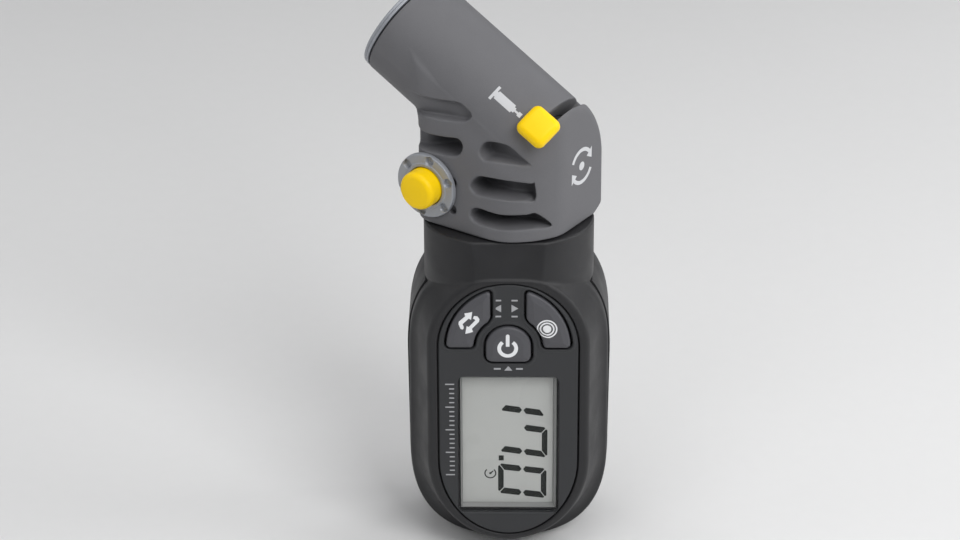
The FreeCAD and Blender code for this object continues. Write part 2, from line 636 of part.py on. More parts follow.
# release valve
housing = turned(
    "release_housing_plain",
    [
        (2.1, -6.5),
        (q["rel_body"], -6.5),
        (q["rel_body"], -5.9),
        (q["rel_body"] - 0.95, -5.9),
        (q["rel_body"] - 0.95, -4.7),
        (q["rel_body"], -4.7),
        (q["rel_body"], 0.05),
        (q["rel_flange"], 0.05),
        (q["rel_flange"], 0.8),
        (q["rel_flange"] - 0.3, 1.1),
        (q["rel_button"] + 0.38, 1.1),
        (q["rel_button"] + 0.13, 0.85),
        (q["rel_button"] + 0.13, -3.5),
        (2.1, -3.5),
    ],
    None,
)
spanner = [cyl("spanner_hole%d" % k, 0.55, 1.0, 5.2 * math.cos(math.radians(60 * k + 20)), 5.2 * math.sin(math.radians(60 * k + 20)), 0.55) for k in range(6)]
keep(cut("release_housing_cut", housing, *spanner), "release_housing", RELEASE)
turned(
    "release_button",
    [(0, -1.2), (q["rel_button"], -1.2), (q["rel_button"], 3.7), (q["rel_button"] - 0.25, 4.2), (q["rel_button"] - 0.8, 4.5), (1.6, 4.66), (0, 4.7)],
    RELEASE,
)
turned("release_stem", [(0, -8.9), (1.9, -8.9), (1.9, -7.5), (1.0, -7.5), (1.0, -1.21), (0, -1.21)], RELEASE)
keep(coil("release_spring", 2.55, 0.22, -3.45, -1.25, 3), "release_spring", RELEASE)
keep(torus("release_seal_ring", q["rel_body"] - 0.47, 0.44, 0, 0, -5.3), "release_seal", RELEASE)
keep(cut("stem_washer_cut", cyl("stem_washer_disc", 2.3, 0.9, 0, 0, -7.45), cyl("stem_washer_hole", 1.08, 3, 0, 0, -8.3)), "stem_washer", RELEASE)

# pump inlet on the far side, with its valve core and dust cap
stem_points = [(2.45, -5.4), (4.0, -5.4), (4.0, 0.0), (5.4, 0.02), (5.4, 1.2), (q["inlet_rad"], 1.2)]
for k in range(9):
    low = 2.0 + 0.75 * k
    stem_points += [(q["inlet_rad"], low), (q["inlet_rad"] - 0.35, low + 0.3), (q["inlet_rad"], low + 0.6)]
stem_points += [(q["inlet_rad"], 9.1), (q["inlet_rad"] - 0.4, q["inlet_len"]), (2.45, q["inlet_len"])]
turned("inlet_stem", stem_points, INLET)
turned("inlet_core", [(0, -4.6), (1.6, -4.6), (2.4, -3.8), (2.4, 5.4), (0.75, 5.4), (0.75, 9.2), (0, 9.2)], INLET)
cap_plain = turned(
    "dust_cap_plain",
    [(q["inlet_rad"] + 0.12, 1.5), (4.75, 1.5), (4.75, 9.6), (4.35, 10.4), (3.6, 10.7), (0, 10.7), (0, 9.8), (q["inlet_rad"] + 0.12, 9.8)],
    None,
)
ribs = [cyl("cap_flute%d" % k, 0.42, 7.6, 4.95 * math.cos(math.radians(30 * k)), 4.95 * math.sin(math.radians(30 * k)), 2.0) for k in range(12)]
keep(cut("dust_cap_cut", cap_plain, *ribs), "dust_cap", INLET)

# swivel
spigot_plain = turned(
    "swivel_spigot_plain",
    [
        (1.3, -8.2),
        (0, -8.2),
        (0, -15.2),
        (q["spigot_rad"] - 0.3, -15.2),
        (q["spigot_rad"], -14.9),
        (q["spigot_rad"], -14.4),
        (4.0, -14.4),
        (4.0, -13.6),
        (q["spigot_rad"], -13.6),
        (q["spigot_rad"], -11.1),
        (3.35, -11.1),
        (3.35, -9.3),
        (q["spigot_rad"], -9.3),
        (q["spigot_rad"], -7.7),
        (4.3, -7.7),
        (4.3, -6.3),
        (q["spigot_rad"], -6.3),
        (q["spigot_rad"], -4.9),
        (3.35, -4.9),
        (3.35, -3.1),
        (q["spigot_rad"], -3.1),
        (q["spigot_rad"], 9.05),
        (1.3, 9.05),
    ],
    None,
)
spigot_port = cyl("spigot_port", 0.7, 12, -6, 0, -7.0, "x")
keep(cut("swivel_spigot_cut", spigot_plain, spigot_port), "swivel_spigot", HEAD)
keep(group("swivel_orings_pair", torus("swivel_oring_low", 4.18, 0.8, 0, 0, -10.2), torus("swivel_oring_high", 4.18, 0.8, 0, 0, -4.0)), "swivel_orings", HEAD)
clip_ring = cut("clip_ring", cyl("clip_disc", 6.6, 0.74, 0, 0, -14.37), cyl("clip_bore", 4.04, 3, 0, 0, -15.5))
keep(cut("swivel_clip_cut", clip_ring, box("clip_gap", 0, 9, -1.6, 1.6, -16, -12)), "swivel_clip", HEAD)
keep(cut("swivel_washer_cut", cyl("washer_disc", 10.4, 0.22, 0, 0, 0.07), cyl("washer_hole", 5.15, 2, 0, 0, -0.8)), "swivel_washer", HEAD)

# ------------------------------------------------------------------ pod shells
WALL = v["wall_thick"]
FRONT, REAR, SPLIT = v["pod_front"], v["pod_rear"], v["split_y"]
TOPZ, BOTZ = -v["panel_top_z"], -v["panel_bot_z"]


def face_loop(extra, y, bottom_extra=None):
    """The face panel's outline, grown by extra."""
    low = extra if bottom_extra is None else bottom_extra
    return loop(v["panel_half"] + extra, TOPZ, v["panel_top_b"] + extra, 2.0, v["panel_half"] + extra, BOTZ, v["panel_bot_b"] + low, 2.0, y)


def front_loop(inset, y):
    return loop(19.05 - inset, -27.0, 20.0 - inset, 2.8, v["pod_half"] - inset, -v["pod_bot_z"], v["pod_bot_b"] - inset, 2.6, y)


def rear_loop(inset, y):
    return loop(19.4 - inset, -27.0, 21.0 - inset, 2.6, v["pod_half"] + 0.1 - inset, -v["pod_bot_z"], v["pod_bot_b"] - inset, 2.6, y)


RIM = v["island_half"] - v["panel_half"]
tier = Part.makeLoft([front_loop(0, -SPLIT - 0.35), face_loop(RIM, -FRONT + 0.9, 1.45)], True, True)
tier = tier.fuse(slab(face_loop(RIM, -FRONT, 1.45), -FRONT, -FRONT + 0.9))
# the neck leans forward from the joint plane down to the face
NECK_FOOT = -8.0


def ring_wire(a, b, z):
    curve = Part.BSplineCurve()
    curve.interpolate([Vector(a * math.cos(math.radians(f)), b * math.sin(math.radians(f)), z) for f in range(0, 360, 10)], True)
    return Part.Wire(curve.toShape())


neck = Part.makeLoft([ring_wire(v["neck_a"], v["neck_b"], NECK_FOOT), ring_wire(v["neck_a"], v["neck_b_top"], 0.0)], True, True)
neck = neck.fuse(Part.Face(ring_wire(v["neck_a"], v["neck_b"], NECK_FOOT)).extrude(Vector(0, 0, -6.0)))
lean = (v["neck_front"] - v["neck_front_top"]) / -NECK_FOOT
front_side = [(-40, 5), (-40, -40), (-v["neck_front"], -40), (-v["neck_front"], NECK_FOOT), (-v["neck_front_top"] + lean * 5, 5)]
front_wedge = Part.Face(Part.makePolygon([Vector(-30, y, z) for y, z in front_side + front_side[:1]])).extrude(Vector(60, 0, 0))
neck = neck.cut(front_wedge).cut(solid_box(-30, 30, v["neck_rear"], 30, -40, 5))
# the neck ends in a slanting lower edge over each front shoulder, and level behind the joint
under = solid_box(-30, 30, -40, 30, -30, 0)
under.rotate(Vector(0, 0, 0), Vector(1, 0, 0), -20.3)
under.translate(Vector(0, 0, -13.3))
under = under.common(solid_box(-30, 30, -40, -SPLIT - 0.35, -60, 20))
neck_outer = neck.cut(under)
neck_outer = neck_outer.cut(solid_box(-30, 30, -SPLIT - 0.35, 30, -40, -12.0))
outside = tier.fuse(neck_outer)
front = outside
# hollow, panel seat, display opening
front_hollow = Part.makeLoft([front_loop(WALL, -SPLIT - 0.34), face_loop(RIM - WALL, -11.0, -0.45)], True, True)
front = front.cut(front_hollow)
front = front.cut(slab(face_loop(0.1, -FRONT - 1), -FRONT - 1, -FRONT + v["panel_thick"]))
LZ = -v["lcd_z"]
front = front.cut(rounded(-9.3, 9.3, -14, -10, LZ - 14.7, LZ + 14.7, 0.1))
neck_hollow = oval(v["neck_a"] - WALL, v["neck_b"] - WALL, -15.0, NECK_FOOT).fuse(oval(v["neck_a"] - WALL - 0.3, v["neck_b_top"] - 1.5, NECK_FOOT - 1.0, -2.5))
neck_hollow = neck_hollow.cut(solid_box(-30, 30, -30, -v["neck_front"] + WALL, -40, 5)).cut(solid_box(-30, 30, v["neck_rear"] - WALL, 30, -40, 5))
neck_hollow = neck_hollow.cut(solid_box(-30, 30, -30, -v["neck_front_top"] + 1.8, NECK_FOOT, 5))
front = front.cut(neck_hollow)
# the hollow of the neck opens downwards into the pod
front = front.cut(solid_box(-8.0, 8.0, -9.0, 8.0, -16.0, -9.0))
front = front.fuse(solid_cyl(v["boss_rad"], v["boss_low"], (0, 0, -v["boss_low"]), (0, 0, 1)))
front = front.cut(solid_cyl(v["boss_bore"], 40, (0, 0, -30), (0, 0, 1)))
# air nipple on the swivel boss
NIP = Vector(10.4, -4.85, 0)
NDIR = Vector(NIP)
NDIR.normalize()
nipple = solid_cyl(1.1, 3.0, tuple(NDIR * 7.4 + Vector(0, 0, -7.0)), tuple(NDIR))
front = front.fuse(nipple).cut(solid_cyl(0.6, 8, tuple(NDIR * 4.0 + Vector(0, 0, -7.0)), tuple(NDIR)))
# pegs for the board, bosses for the housing screws
PEGS = [(x, z) for x in (-11.4, 11.4) for z in (-31.0, -56.0)]
for x, z in PEGS:
    front = front.fuse(solid_cyl(1.45, 3.4, (x, -v["board_y"], z), (0, -1, 0)).common(outside))
    front = front.cut(solid_cyl(0.72, 2.6, (x, -v["board_y"] + 0.1, z), (0, -1, 0)))
LOW_SCREWS = [(-10.5, -61.3), (10.5, -61.3)]
for x, z in LOW_SCREWS:
    front = front.fuse(solid_cyl(2.1, 3.6, (x, -SPLIT - 0.35, z), (0, -1, 0)).common(outside))
    front = front.cut(solid_cyl(0.95, 3.3, (x, -SPLIT, z), (0, -1, 0)))
HIGH_SCREWS = [(-11.8, -7.6), (11.8, -7.6)]
for x, z in HIGH_SCREWS:
    front = front.fuse(solid_cyl(2.1, 6.6, (x, 8.6, z), (0, -1, 0)).common(oval(v["neck_a"] - 0.5, v["neck_b_top"] - 0.3, -12.0, 0)))
    front = front.cut(solid_cyl(0.95, 5.6, (x, 13.0, z), (0, -1, 0)))
    front = front.cut(solid_cyl(0.95, 4.6, (x, 8.7, z), (0, -1, 0)))

# key openings: outlines shared with the keys, grown by a clearance
def key_face(which, grow, y0, y1):
    """A key's solid from y0 to y1: a wing either side, or the middle key with a round top."""
    if which == "power":
        r = 4.3 + grow
        low = -24.25 - grow
        round_top = solid_cyl(r, y1 - y0, (0, y0, -20.95), (0, 1, 0))
        foot = rounded(-r, r, y0, y1, low, -20.95 + 4.0, 1.3 + grow).cut(solid_box(-20, 20, y0 - 1, y1 + 1, -20.95, 0))
        body = round_top.cut(solid_box(-20, 20, y0 - 1, y1 + 1, -40, -20.95)).fuse(foot)
        return body.removeSplitter()
    wing = slab(loop(11.8 + grow, TOPZ, 12.75 + grow, 2.0, 11.8 + grow, TOPZ - 1.0, 6.0, 2.0, y0), y0, y1)
    limit = solid_box(-30, -3.35 + grow, y0 - 1, y1 + 1, -21.2 - grow, 0)
    wing = wing.common(limit).cut(solid_cyl(6.5 - grow, 40, (-0.05, -30, -21.0), (0, 1, 0)))
    edges = [e for e in wing.Edges if abs(e.Vertexes[0].Point.x - e.Vertexes[-1].Point.x) < 1e-5 and abs(e.Vertexes[0].Point.z - e.Vertexes[-1].Point.z) < 1e-5]
    wing = soften(wing, 0.8, edges)
    if which == "tune":
        wing = wing.mirror(Vector(0, 0, 0), Vector(1, 0, 0))
    return wing


for which in ("unit", "tune", "power"):
    front = front.cut(key_face(which, 0.35, -15.0, -9.0))
shaped("front_housing", front, POD)

rear = slab(rear_loop(0, 0), -SPLIT + 0.05, REAR)
back_edges = [e for e in rear.Edges if abs(e.BoundBox.YMin - REAR) < 1e-4 and abs(e.BoundBox.YMax - REAR) < 1e-4]
rear = soften(rear, 5.0, back_edges)
# a tongue stands up behind the neck and takes the two upper screws
tongue = rounded(-14.6, 14.6, 3.0, REAR, -22.0, -2.4, 4.0)
tongue_edges = [e for e in tongue.Edges if abs(e.BoundBox.YMin - REAR) < 1e-4 and abs(e.BoundBox.YMax - REAR) < 1e-4]
tongue = soften(tongue, 1.5, tongue_edges)
tongue = tongue.cut(slab(rear_loop(WALL, 0), -SPLIT - 1, 6.0)).cut(slab(rear_loop(WALL + 2.6, 0), 5.9, REAR - 2.0))
rear = rear.cut(slab(rear_loop(WALL, 0), -SPLIT - 1, 6.0)).cut(slab(rear_loop(WALL + 2.6, 0), 5.9, REAR - 2.0))
neck_room = oval(v["neck_a"] + 0.15, v["neck_b"] + 0.15, -12.2, 5.0).cut(solid_box(-30, 30, v["neck_rear"] + 0.15, 30, -40, 8))
rear = rear.fuse(tongue).cut(neck_room)
CZ = -v["cell_z"]
# battery cup with its floor, door seat and bayonet groove
cup = solid_cyl(12.9, REAR - 3.9, (0, 3.9, CZ), (0, 1, 0))
rear = rear.fuse(cup)
rear = rear.cut(solid_cyl(10.4, 20, (0, 4.8, CZ), (0, 1, 0)))
rear = rear.cut(solid_cyl(v["door_rad"] + 0.12, 3, (0, REAR - 1.75, CZ), (0, 1, 0)))
rear = rear.cut(solid_cyl(11.75, 1.5, (0, 10.0, CZ), (0, 1, 0)))
for a in (0, 180):
    entry = solid_box(9.5, 11.75, 10.0, REAR, -2.6, 2.6)
    entry.rotate(Vector(0, 0, 0), Vector(0, 1, 0), a)
    entry.translate(Vector(0, 0, CZ))
    rear = rear.cut(entry)
# passages for the two battery contacts
rear = rear.cut(solid_cyl(0.65, 4, (0, 2.5, CZ), (0, 1, 0)))
rear = rear.cut(solid_box(9.6, 11.2, 2.5, 9.6, CZ - 2.3, CZ + 2.3))
for x, z in LOW_SCREWS:
    rear = rear.fuse(solid_cyl(2.6, REAR - 2.2 + SPLIT, (x, -SPLIT + 0.05, z), (0, 1, 0)).common(slab(rear_loop(0.5, 0), -SPLIT, REAR - 1)))
    rear = rear.cut(solid_cyl(1.1, 40, (x, -20, z), (0, 1, 0)))
    rear = rear.cut(solid_cyl(2.05, 20, (x, 3.0, z), (0, 1, 0)))
for x, z in HIGH_SCREWS:
    rear = rear.cut(solid_cyl(1.1, 40, (x, -20, z), (0, 1, 0)))
    rear = rear.cut(solid_cyl(2.05, 20, (x, REAR - 1.7, z), (0, 1, 0)))
shaped("rear_housing", rear, POD)

gasket = slab(rear_loop(0.75, 0), -SPLIT - 0.3, -SPLIT).cut(slab(rear_loop(1.55, 0), -SPLIT - 1, -SPLIT + 1))
gasket = gasket.common(slab(front_loop(0.1, 0), -SPLIT - 2, 2)).cut(oval(v["neck_a"] + 0.3, v["neck_b"] + 0.3, -12.5, 5.0)).cut(slab(loop(17.0, -27.0, 18.0, 3.0, 30, -46, 40, 2.6, 0), -SPLIT - 2, 2).common(solid_box(-40, 40, -10, 10, -27.0, 0)))
gasket_parts = [s for s in gasket.Solids if s.Volume > 0.2]
shaped("housing_gasket", Part.makeCompound(gasket_parts) if len(gasket_parts) > 1 else gasket_parts[0], POD)

# face panel with openings for the window and the keys
panel = slab(face_loop(0, 0), -FRONT + 0.02, -FRONT + v["panel_thick"])
panel = panel.cut(rounded(-v["lcd_wide"] / 2 - 0.06, v["lcd_wide"] / 2 + 0.06, -20, -5, LZ - v["lcd_high"] / 2 - 0.06, LZ + v["lcd_high"] / 2 + 0.06, 1.26))
for which in ("unit", "tune", "power"):
    panel = panel.cut(key_face(which, 0.35, -15.0, -9.0))
shaped("face_panel", panel, POD)

# keys: a crowned cap through the panel, a flange behind the housing floor and a stud over the switch
KEYS = {"unit": (-7.8, -16.2), "tune": (7.8, -16.2), "power": (0.0, -20.6)}
for which, (kx, kz) in KEYS.items():
    cap = key_face(which, 0.0, -FRONT - 0.75, -10.35)
    top_edges = [e for e in cap.Edges if e.BoundBox.YMax < -FRONT - 0.6]
    cap = soften(cap, 0.45, top_edges)
    flange = key_face(which, 0.55, -10.85, -10.35)
    stud = solid_cyl(1.2, 1.4, (kx, -10.4, kz), (0, 1, 0))
    shaped("key_" + which, cap.fuse(flange).fuse(stud), POD)

# ------------------------------------------------------------------ pod internals
# silicone web behind the keys, holed for the studs
web = plate("keypad_web_sheet", [(-12.6, -24.6), (12.6, -24.6), (12.6, -18.0), (8.6, -13.9), (-8.6, -13.9), (-12.6, -18.0)], 0.55, None, "XZ_Plane")
web.Placement = Placement(Vector(0, -9.2, 0), Rotation())
web_holes = [cyl("web_hole_" + which, 1.75, 6, kx, -12, kz, "y") for which, (kx, kz) in KEYS.items()]
keep(cut("keypad_web_cut", web, *web_holes), "keypad_web", POD)

window = plate(
    "display_window",
    [(q["lcd_wide"] * -0.5, q["lcd_high"] * -0.5), (q["lcd_wide"] * 0.5, q["lcd_high"] * -0.5), (q["lcd_wide"] * 0.5, q["lcd_high"] * 0.5), (q["lcd_wide"] * -0.5, q["lcd_high"] * 0.5)],
    1.1,
    POD.multiply(Placement(Vector(0, -FRONT + v["panel_thick"] - 0.02, LZ), Rotation())),
    "XZ_Plane",
    radii=[(0, 1.2), (1, 1.2), (2, 1.2), (3, 1.2)],
)
# display frame: its right rail slopes down to the glass
frame_block = box("lcd_frame_block", -9.2, 9.2, -12.25, -8.3, q["lcd_z"] * -1 - 14.6, q["lcd_z"] * -1 + 14.6)
frame_open = box("lcd_frame_open", -8.9, 8.6, -14, -5, -56.95, -28.45)
slope = doc.addObject("Part::Wedge", "lcd_frame_slope")
slope.Xmin, slope.Xmax, slope.X2min, slope.X2max = -8.9, 9.0, -8.9, 8.6
slope.Ymin, slope.Ymax = 0.0, 1.2
slope.Zmin, slope.Zmax, slope.Z2min, slope.Z2max = -57.1, -28.45, -56.95, -28.45
slope.Placement = Placement(Vector(0, -12.3, 0), Rotation())
keep(cut("lcd_frame_cut", frame_block, frame_open, slope), "lcd_frame", POD)
keep(box("lcd_cell_glass", -8.85, 8.55, -10.9, -9.4, -56.9, -28.5), "lcd_cell", POD)
keep(group("contact_strips_pair", box("strip_high", -7.5, 7.5, -9.38, -8.02, -30.4, -29.2), box("strip_low", -7.5, 7.5, -9.38, -8.02, -53.6, -52.4)), "contact_strips", POD)

board_plain = plate("main_board_sheet", [(-12.9, -58.4), (12.9, -58.4), (12.9, -18.5), (9.0, -15.0), (-9.0, -15.0), (-12.9, -18.5)], 1.0, None, "XZ_Plane", radii=[(0, 2.0), (1, 2.0)])
board_plain.Placement = Placement(Vector(0, -v["board_y"] + 1.0, 0), Rotation())
board_holes = [cyl("board_hole%d" % k, 0.9, 6, x, -10, z, "y") for k, (x, z) in enumerate(PEGS)]
keep(cut("main_board_cut", board_plain, *board_holes), "main_board", POD)


def screw(name, x, y, z, head_r, head_h, shank_r, shank_l, direction):
    """A pan head screw with a cross recess. Its head's underside is at y and the shank runs along direction."""
    s = 1 if direction == "y" else -1
    head = cyl(name + "_head", head_r, head_h, x, y, z, "-y" if s > 0 else "y")
    shank = cyl(name + "_shank", shank_r, shank_l, x, y, z, "y" if s > 0 else "-y")
    top = y - s * head_h
    slot_a = box(name + "_slot_a", x - head_r * 0.62, x + head_r * 0.62, min(top, top + s * head_h * 0.45) - 0.001, max(top, top + s * head_h * 0.45) + 0.001, z - head_r * 0.12, z + head_r * 0.12)
    slot_b = box(name + "_slot_b", x - head_r * 0.12, x + head_r * 0.12, min(top, top + s * head_h * 0.45) - 0.001, max(top, top + s * head_h * 0.45) + 0.001, z - head_r * 0.62, z + head_r * 0.62)
    return cut(name, fuse(name + "_solid", head, shank), slot_a, slot_b)


keep(group("board_screws_set", *[screw("board_screw%d" % k, x, -v["board_y"] + 1.02, z, 1.35, 0.8, 0.68, 3.2, "-y") for k, (x, z) in enumerate(PEGS)]), "board_screws", POD)
keep(
    group(
        "housing_screws_set",
        *([screw("low_screw%d" % k, x, 3.02, z, 1.9, 1.3, 0.9, 9.0, "-y") for k, (x, z) in enumerate(LOW_SCREWS)] + [screw("high_screw%d" % k, x, REAR - 1.68, z, 1.9, 1.2, 0.9, 8.2, "-y") for k, (x, z) in enumerate(HIGH_SCREWS)])
    ),
    "housing_screws",
    POD,
)
keep(group("switch_domes_set", *[cyl("dome_" + which, 2.4, 0.3, kx, -8.35, kz, "y") for which, (kx, kz) in KEYS.items()]), "switch_domes", POD)
keep(
    group(
        "board_parts_set",
        box("chip", -4.5, 4.5, -6.98, -5.6, -42.8, -33.8),
        box("crystal", -10.5, -7.6, -6.98, -4.4, -41.0, -32.6),
        box("amplifier", 5.8, 9.8, -6.98, -5.7, -34.0, -29.0),
        box("part_a", -9.0, -7.0, -6.98, -6.1, -47.6, -46.4),
        box("part_b", -9.0, -7.0, -6.98, -6.1, -50.6, -49.4),
        box("part_c", 6.6, 8.6, -6.98, -6.1, -39.0, -37.8),
        box("part_d", -1.0, 1.0, -6.98, -6.1, -29.6, -28.4),
        box("buzzer_base", -10.2, -5.2, -6.98, -4.2, -27.5, -22.5),
    ),
    "board_components",
    POD,
)
sensor_can = box("sensor_can", 7.4, 13.0, -6.95, -2.75, -27.0, -21.0)
sensor_port = cyl("sensor_port", 1.1, 3.5, 10.4, -4.85, -21.2)
sensor_hole = cyl("sensor_hole", 0.6, 6.5, 10.4, -4.85, -24.0)
keep(cut("pressure_sensor_cut", fuse("sensor_whole", sensor_can, sensor_port), sensor_hole), "pressure_sensor", POD)
# silicone air tube: out from the nipple, round one bend and down to the sensor
bend = 1.9
p0 = NDIR * 8.35 + Vector(0, 0, -7.0)
p1 = NDIR * (NIP.Length - bend) + Vector(0, 0, -7.0)
mid = NDIR * (NIP.Length - bend + bend * math.sin(math.radians(45))) + Vector(0, 0, -7.0 - bend + bend * math.cos(math.radians(45)))
p2 = NIP + Vector(0, 0, -7.0 - bend)
p3 = NIP + Vector(0, 0, -20.9)
path = Part.Wire([Part.LineSegment(p0, p1).toShape(), Part.Arc(p1, mid, p2).toShape(), Part.LineSegment(p2, p3).toShape()])
tube_out = path.makePipeShell([Part.Wire(Part.Circle(p0, NDIR, 1.65).toShape())], True, True)
tube_in = path.makePipeShell([Part.Wire(Part.Circle(p0, NDIR, 1.12).toShape())], True, True)
shaped("air_tube", tube_out.cut(tube_in), POD)

# coin cell, its contacts and the door
cell_back = 9.3
cell_can = cyl("cell_can", q["cell_rad"], q["cell_thick"] - 0.45, 0, 6.1 + 0.45, -q["cell_z"], "y")
cell_neg = cyl("cell_neg", q["cell_rad"] - 1.2, 0.5, 0, 6.1, -q["cell_z"], "y")
keep(fuse("battery_cell_whole", cell_can, cell_neg), "battery_cell", POD)
neg_plate = box("neg_plate", -3.0, 3.0, 4.82, 5.12, -q["cell_z"] - 5.0, -q["cell_z"] + 5.0)
neg_bump = cyl("neg_bump", 1.4, 1.0, 0, 5.08, -q["cell_z"] + 2.6, "y")
neg_pin = cyl("neg_pin", 0.5, 11.85, 0, 4.9, -q["cell_z"], "-y")
keep(fuse("battery_contact_negative_whole", neg_plate, neg_bump, neg_pin), "battery_contact_negative", POD)
pos_blade = box("pos_blade", 10.08, 10.38, 2.9, 9.0, -q["cell_z"] - 2.0, -q["cell_z"] + 2.0)
pos_pin = cyl("pos_pin", 0.45, 9.95, 10.4, 3.0, -q["cell_z"], "-y")
keep(fuse("battery_contact_positive_whole", pos_blade, pos_pin), "battery_contact_positive", POD)
DOOR = POD.multiply(Placement(Vector(0, 0, CZ), Rotation(Vector(1, 0, 0), -90)))
# the door turns about its own Z, which points out of the back
door_plain = turned(
    "battery_door_plain",
    [
        (0, 9.75),
        (9.9, 9.75),
        (9.9, 11.6),
        (9.35, 11.6),
        (9.35, 12.6),
        (q["door_rad"], 12.6),
        (q["door_rad"], 13.9),
        (q["door_rad"] - 0.35, 14.25),
        (0, 14.25),
    ],
    None,
)
lug_a = box("door_lug_a", 9.3, 11.6, -2.3, 2.3, 10.15, 11.35)
lug_b = box("door_lug_b", -11.6, -9.3, -2.3, 2.3, 10.15, 11.35)
lug_ring = common("door_lugs", fuse("door_lug_pair", lug_a, lug_b), cyl("door_lug_limit", 11.6, 6, 0, 0, 8))
door_turned = fuse("door_with_lugs", door_plain, lug_ring)
door_turned_rot = Placement(Vector(), Rotation(Vector(0, 0, 1), -60))
coin_slot = box("coin_slot", -6.0, 6.0, -0.9, 0.9, 13.25, 15)
door_cut = cut("battery_door_cut", door_turned, coin_slot)
door_cut.Placement = door_turned_rot
keep(door_cut, "battery_door", DOOR)
keep(torus("door_seal_ring", 9.85, 0.42, 0, 0, 12.02), "door_seal", DOOR)

doc.recompute()

# ------------------------------------------------------------------ check and export
bad = [o.Name for o in doc.Objects if any(s in ("Invalid", "Error") for s in o.State)]
if bad:
    raise SystemExit("failed objects: %s" % bad)
wrong = []
for label, obj in NODES:
    if obj.Label != label:
        wrong.append("%s is labelled %s" % (label, obj.Label))
    s = obj.Shape
    if s.isNull() or not s.isValid() or not s.Solids:
        wrong.append("%s has no valid solid" % label)
if wrong:
    raise SystemExit("; ".join(wrong))
os.makedirs("parts", exist_ok=True)
for label, obj in NODES:
    obj.Shape.exportStep(os.path.join("parts", label + ".step"))
whole = FreeCAD.BoundBox()
for label, obj in NODES:
    whole.add(obj.Shape.BoundBox)
print("%d pieces, box %.2f %.2f %.2f to %.2f %.2f %.2f mm" % (len(NODES), whole.XMin, whole.YMin, whole.ZMin, whole.XMax, whole.YMax, whole.ZMax))
print("socket mouth %.4f %.4f %.4f, axis %.6f %.6f %.6f" % (MOUTH.x, MOUTH.y, MOUTH.z, ALONG.x, ALONG.y, ALONG.z))
for label, obj in NODES:
    b = obj.Shape.BoundBox
    print("%-26s %2d solids %10.2f mm3  %7.2f %7.2f %7.2f  %7.2f %7.2f %7.2f" % (label, len(obj.Shape.Solids), obj.Shape.Volume, b.XMin, b.YMin, b.ZMin, b.XMax, b.YMax, b.ZMax))
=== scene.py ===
import json
import math

import bpy
import numpy as np
from mathutils import Matrix, Vector
from mathutils.geometry import tessellate_polygon


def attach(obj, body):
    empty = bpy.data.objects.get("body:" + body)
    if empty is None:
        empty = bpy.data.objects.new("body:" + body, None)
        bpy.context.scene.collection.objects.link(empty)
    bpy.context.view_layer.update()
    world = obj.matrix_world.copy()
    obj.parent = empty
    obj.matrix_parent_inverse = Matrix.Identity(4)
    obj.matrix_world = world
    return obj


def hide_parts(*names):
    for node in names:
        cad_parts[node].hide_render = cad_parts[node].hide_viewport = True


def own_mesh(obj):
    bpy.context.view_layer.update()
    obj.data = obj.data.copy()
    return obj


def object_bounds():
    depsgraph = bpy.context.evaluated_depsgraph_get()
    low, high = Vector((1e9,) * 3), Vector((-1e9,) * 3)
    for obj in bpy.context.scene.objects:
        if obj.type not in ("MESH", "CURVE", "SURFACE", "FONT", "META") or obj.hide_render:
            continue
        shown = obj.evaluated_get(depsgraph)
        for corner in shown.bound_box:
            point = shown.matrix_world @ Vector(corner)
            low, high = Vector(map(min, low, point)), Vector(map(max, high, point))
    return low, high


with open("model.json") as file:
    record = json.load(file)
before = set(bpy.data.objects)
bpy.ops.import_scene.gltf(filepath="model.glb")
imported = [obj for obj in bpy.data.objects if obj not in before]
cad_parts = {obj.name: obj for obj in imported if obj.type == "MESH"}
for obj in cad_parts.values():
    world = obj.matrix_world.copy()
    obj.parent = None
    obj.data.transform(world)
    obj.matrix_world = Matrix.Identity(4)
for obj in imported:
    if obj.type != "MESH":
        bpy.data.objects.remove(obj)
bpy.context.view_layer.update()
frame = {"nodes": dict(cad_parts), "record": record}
scene = bpy.context.scene

# ------------------------------------------------------------------ directions and places
# Device millimetres: x right, y back, z up from the swivel joint. The head has u along the barrel's
# heading, w to the near side and z up. The row's origin is the mouth of the valve socket.
YAW, TILT, ELBOW = math.radians(33.7), math.radians(29.0), 21.04
U = np.array([-math.cos(YAW), math.sin(YAW), 0.0])
W = np.array([-math.sin(YAW), -math.cos(YAW), 0.0])
ZED = np.array([0.0, 0.0, 1.0])
ALONG = U * math.cos(TILT) + ZED * math.sin(TILT)
UPN = -U * math.sin(TILT) + ZED * math.cos(TILT)
MOUTH = np.array([0.0, 0.0, ELBOW]) + ALONG * 27.7
HEAD = np.stack([U, W, ZED])
POD = np.eye(3)


def row(points, axes=POD, origin=(0.0, 0.0, 0.0)):
    """Local millimetres to the row frame's metres."""
    return (np.asarray(points, float) @ np.asarray(axes) + np.asarray(origin, float) - MOUTH) * 0.001


# ------------------------------------------------------------------ shapes as distance fields
def smin(a, b, k):
    h = np.maximum(k - np.abs(a - b), 0.0) / k
    return np.minimum(a, b) - h * h * k * 0.25


def smax(a, b, k):
    return -smin(-a, -b, k)


def both(a, b, r):
    """Intersection whose edge is rounded to radius r."""
    return np.minimum(-r, np.maximum(a, b)) + np.hypot(np.maximum(r + a, 0.0), np.maximum(r + b, 0.0))


def ramp(x, a, b):
    f = np.clip((x - a) / (b - a), 0.0, 1.0)
    return f * f * (3 - 2 * f)


def ellipse(x, z, a, b):
    k0 = np.hypot(x / a, z / b)
    k1 = np.maximum(np.hypot(x / (a * a), z / (b * b)), 1e-6)
    return k0 * (k0 - 1) / k1


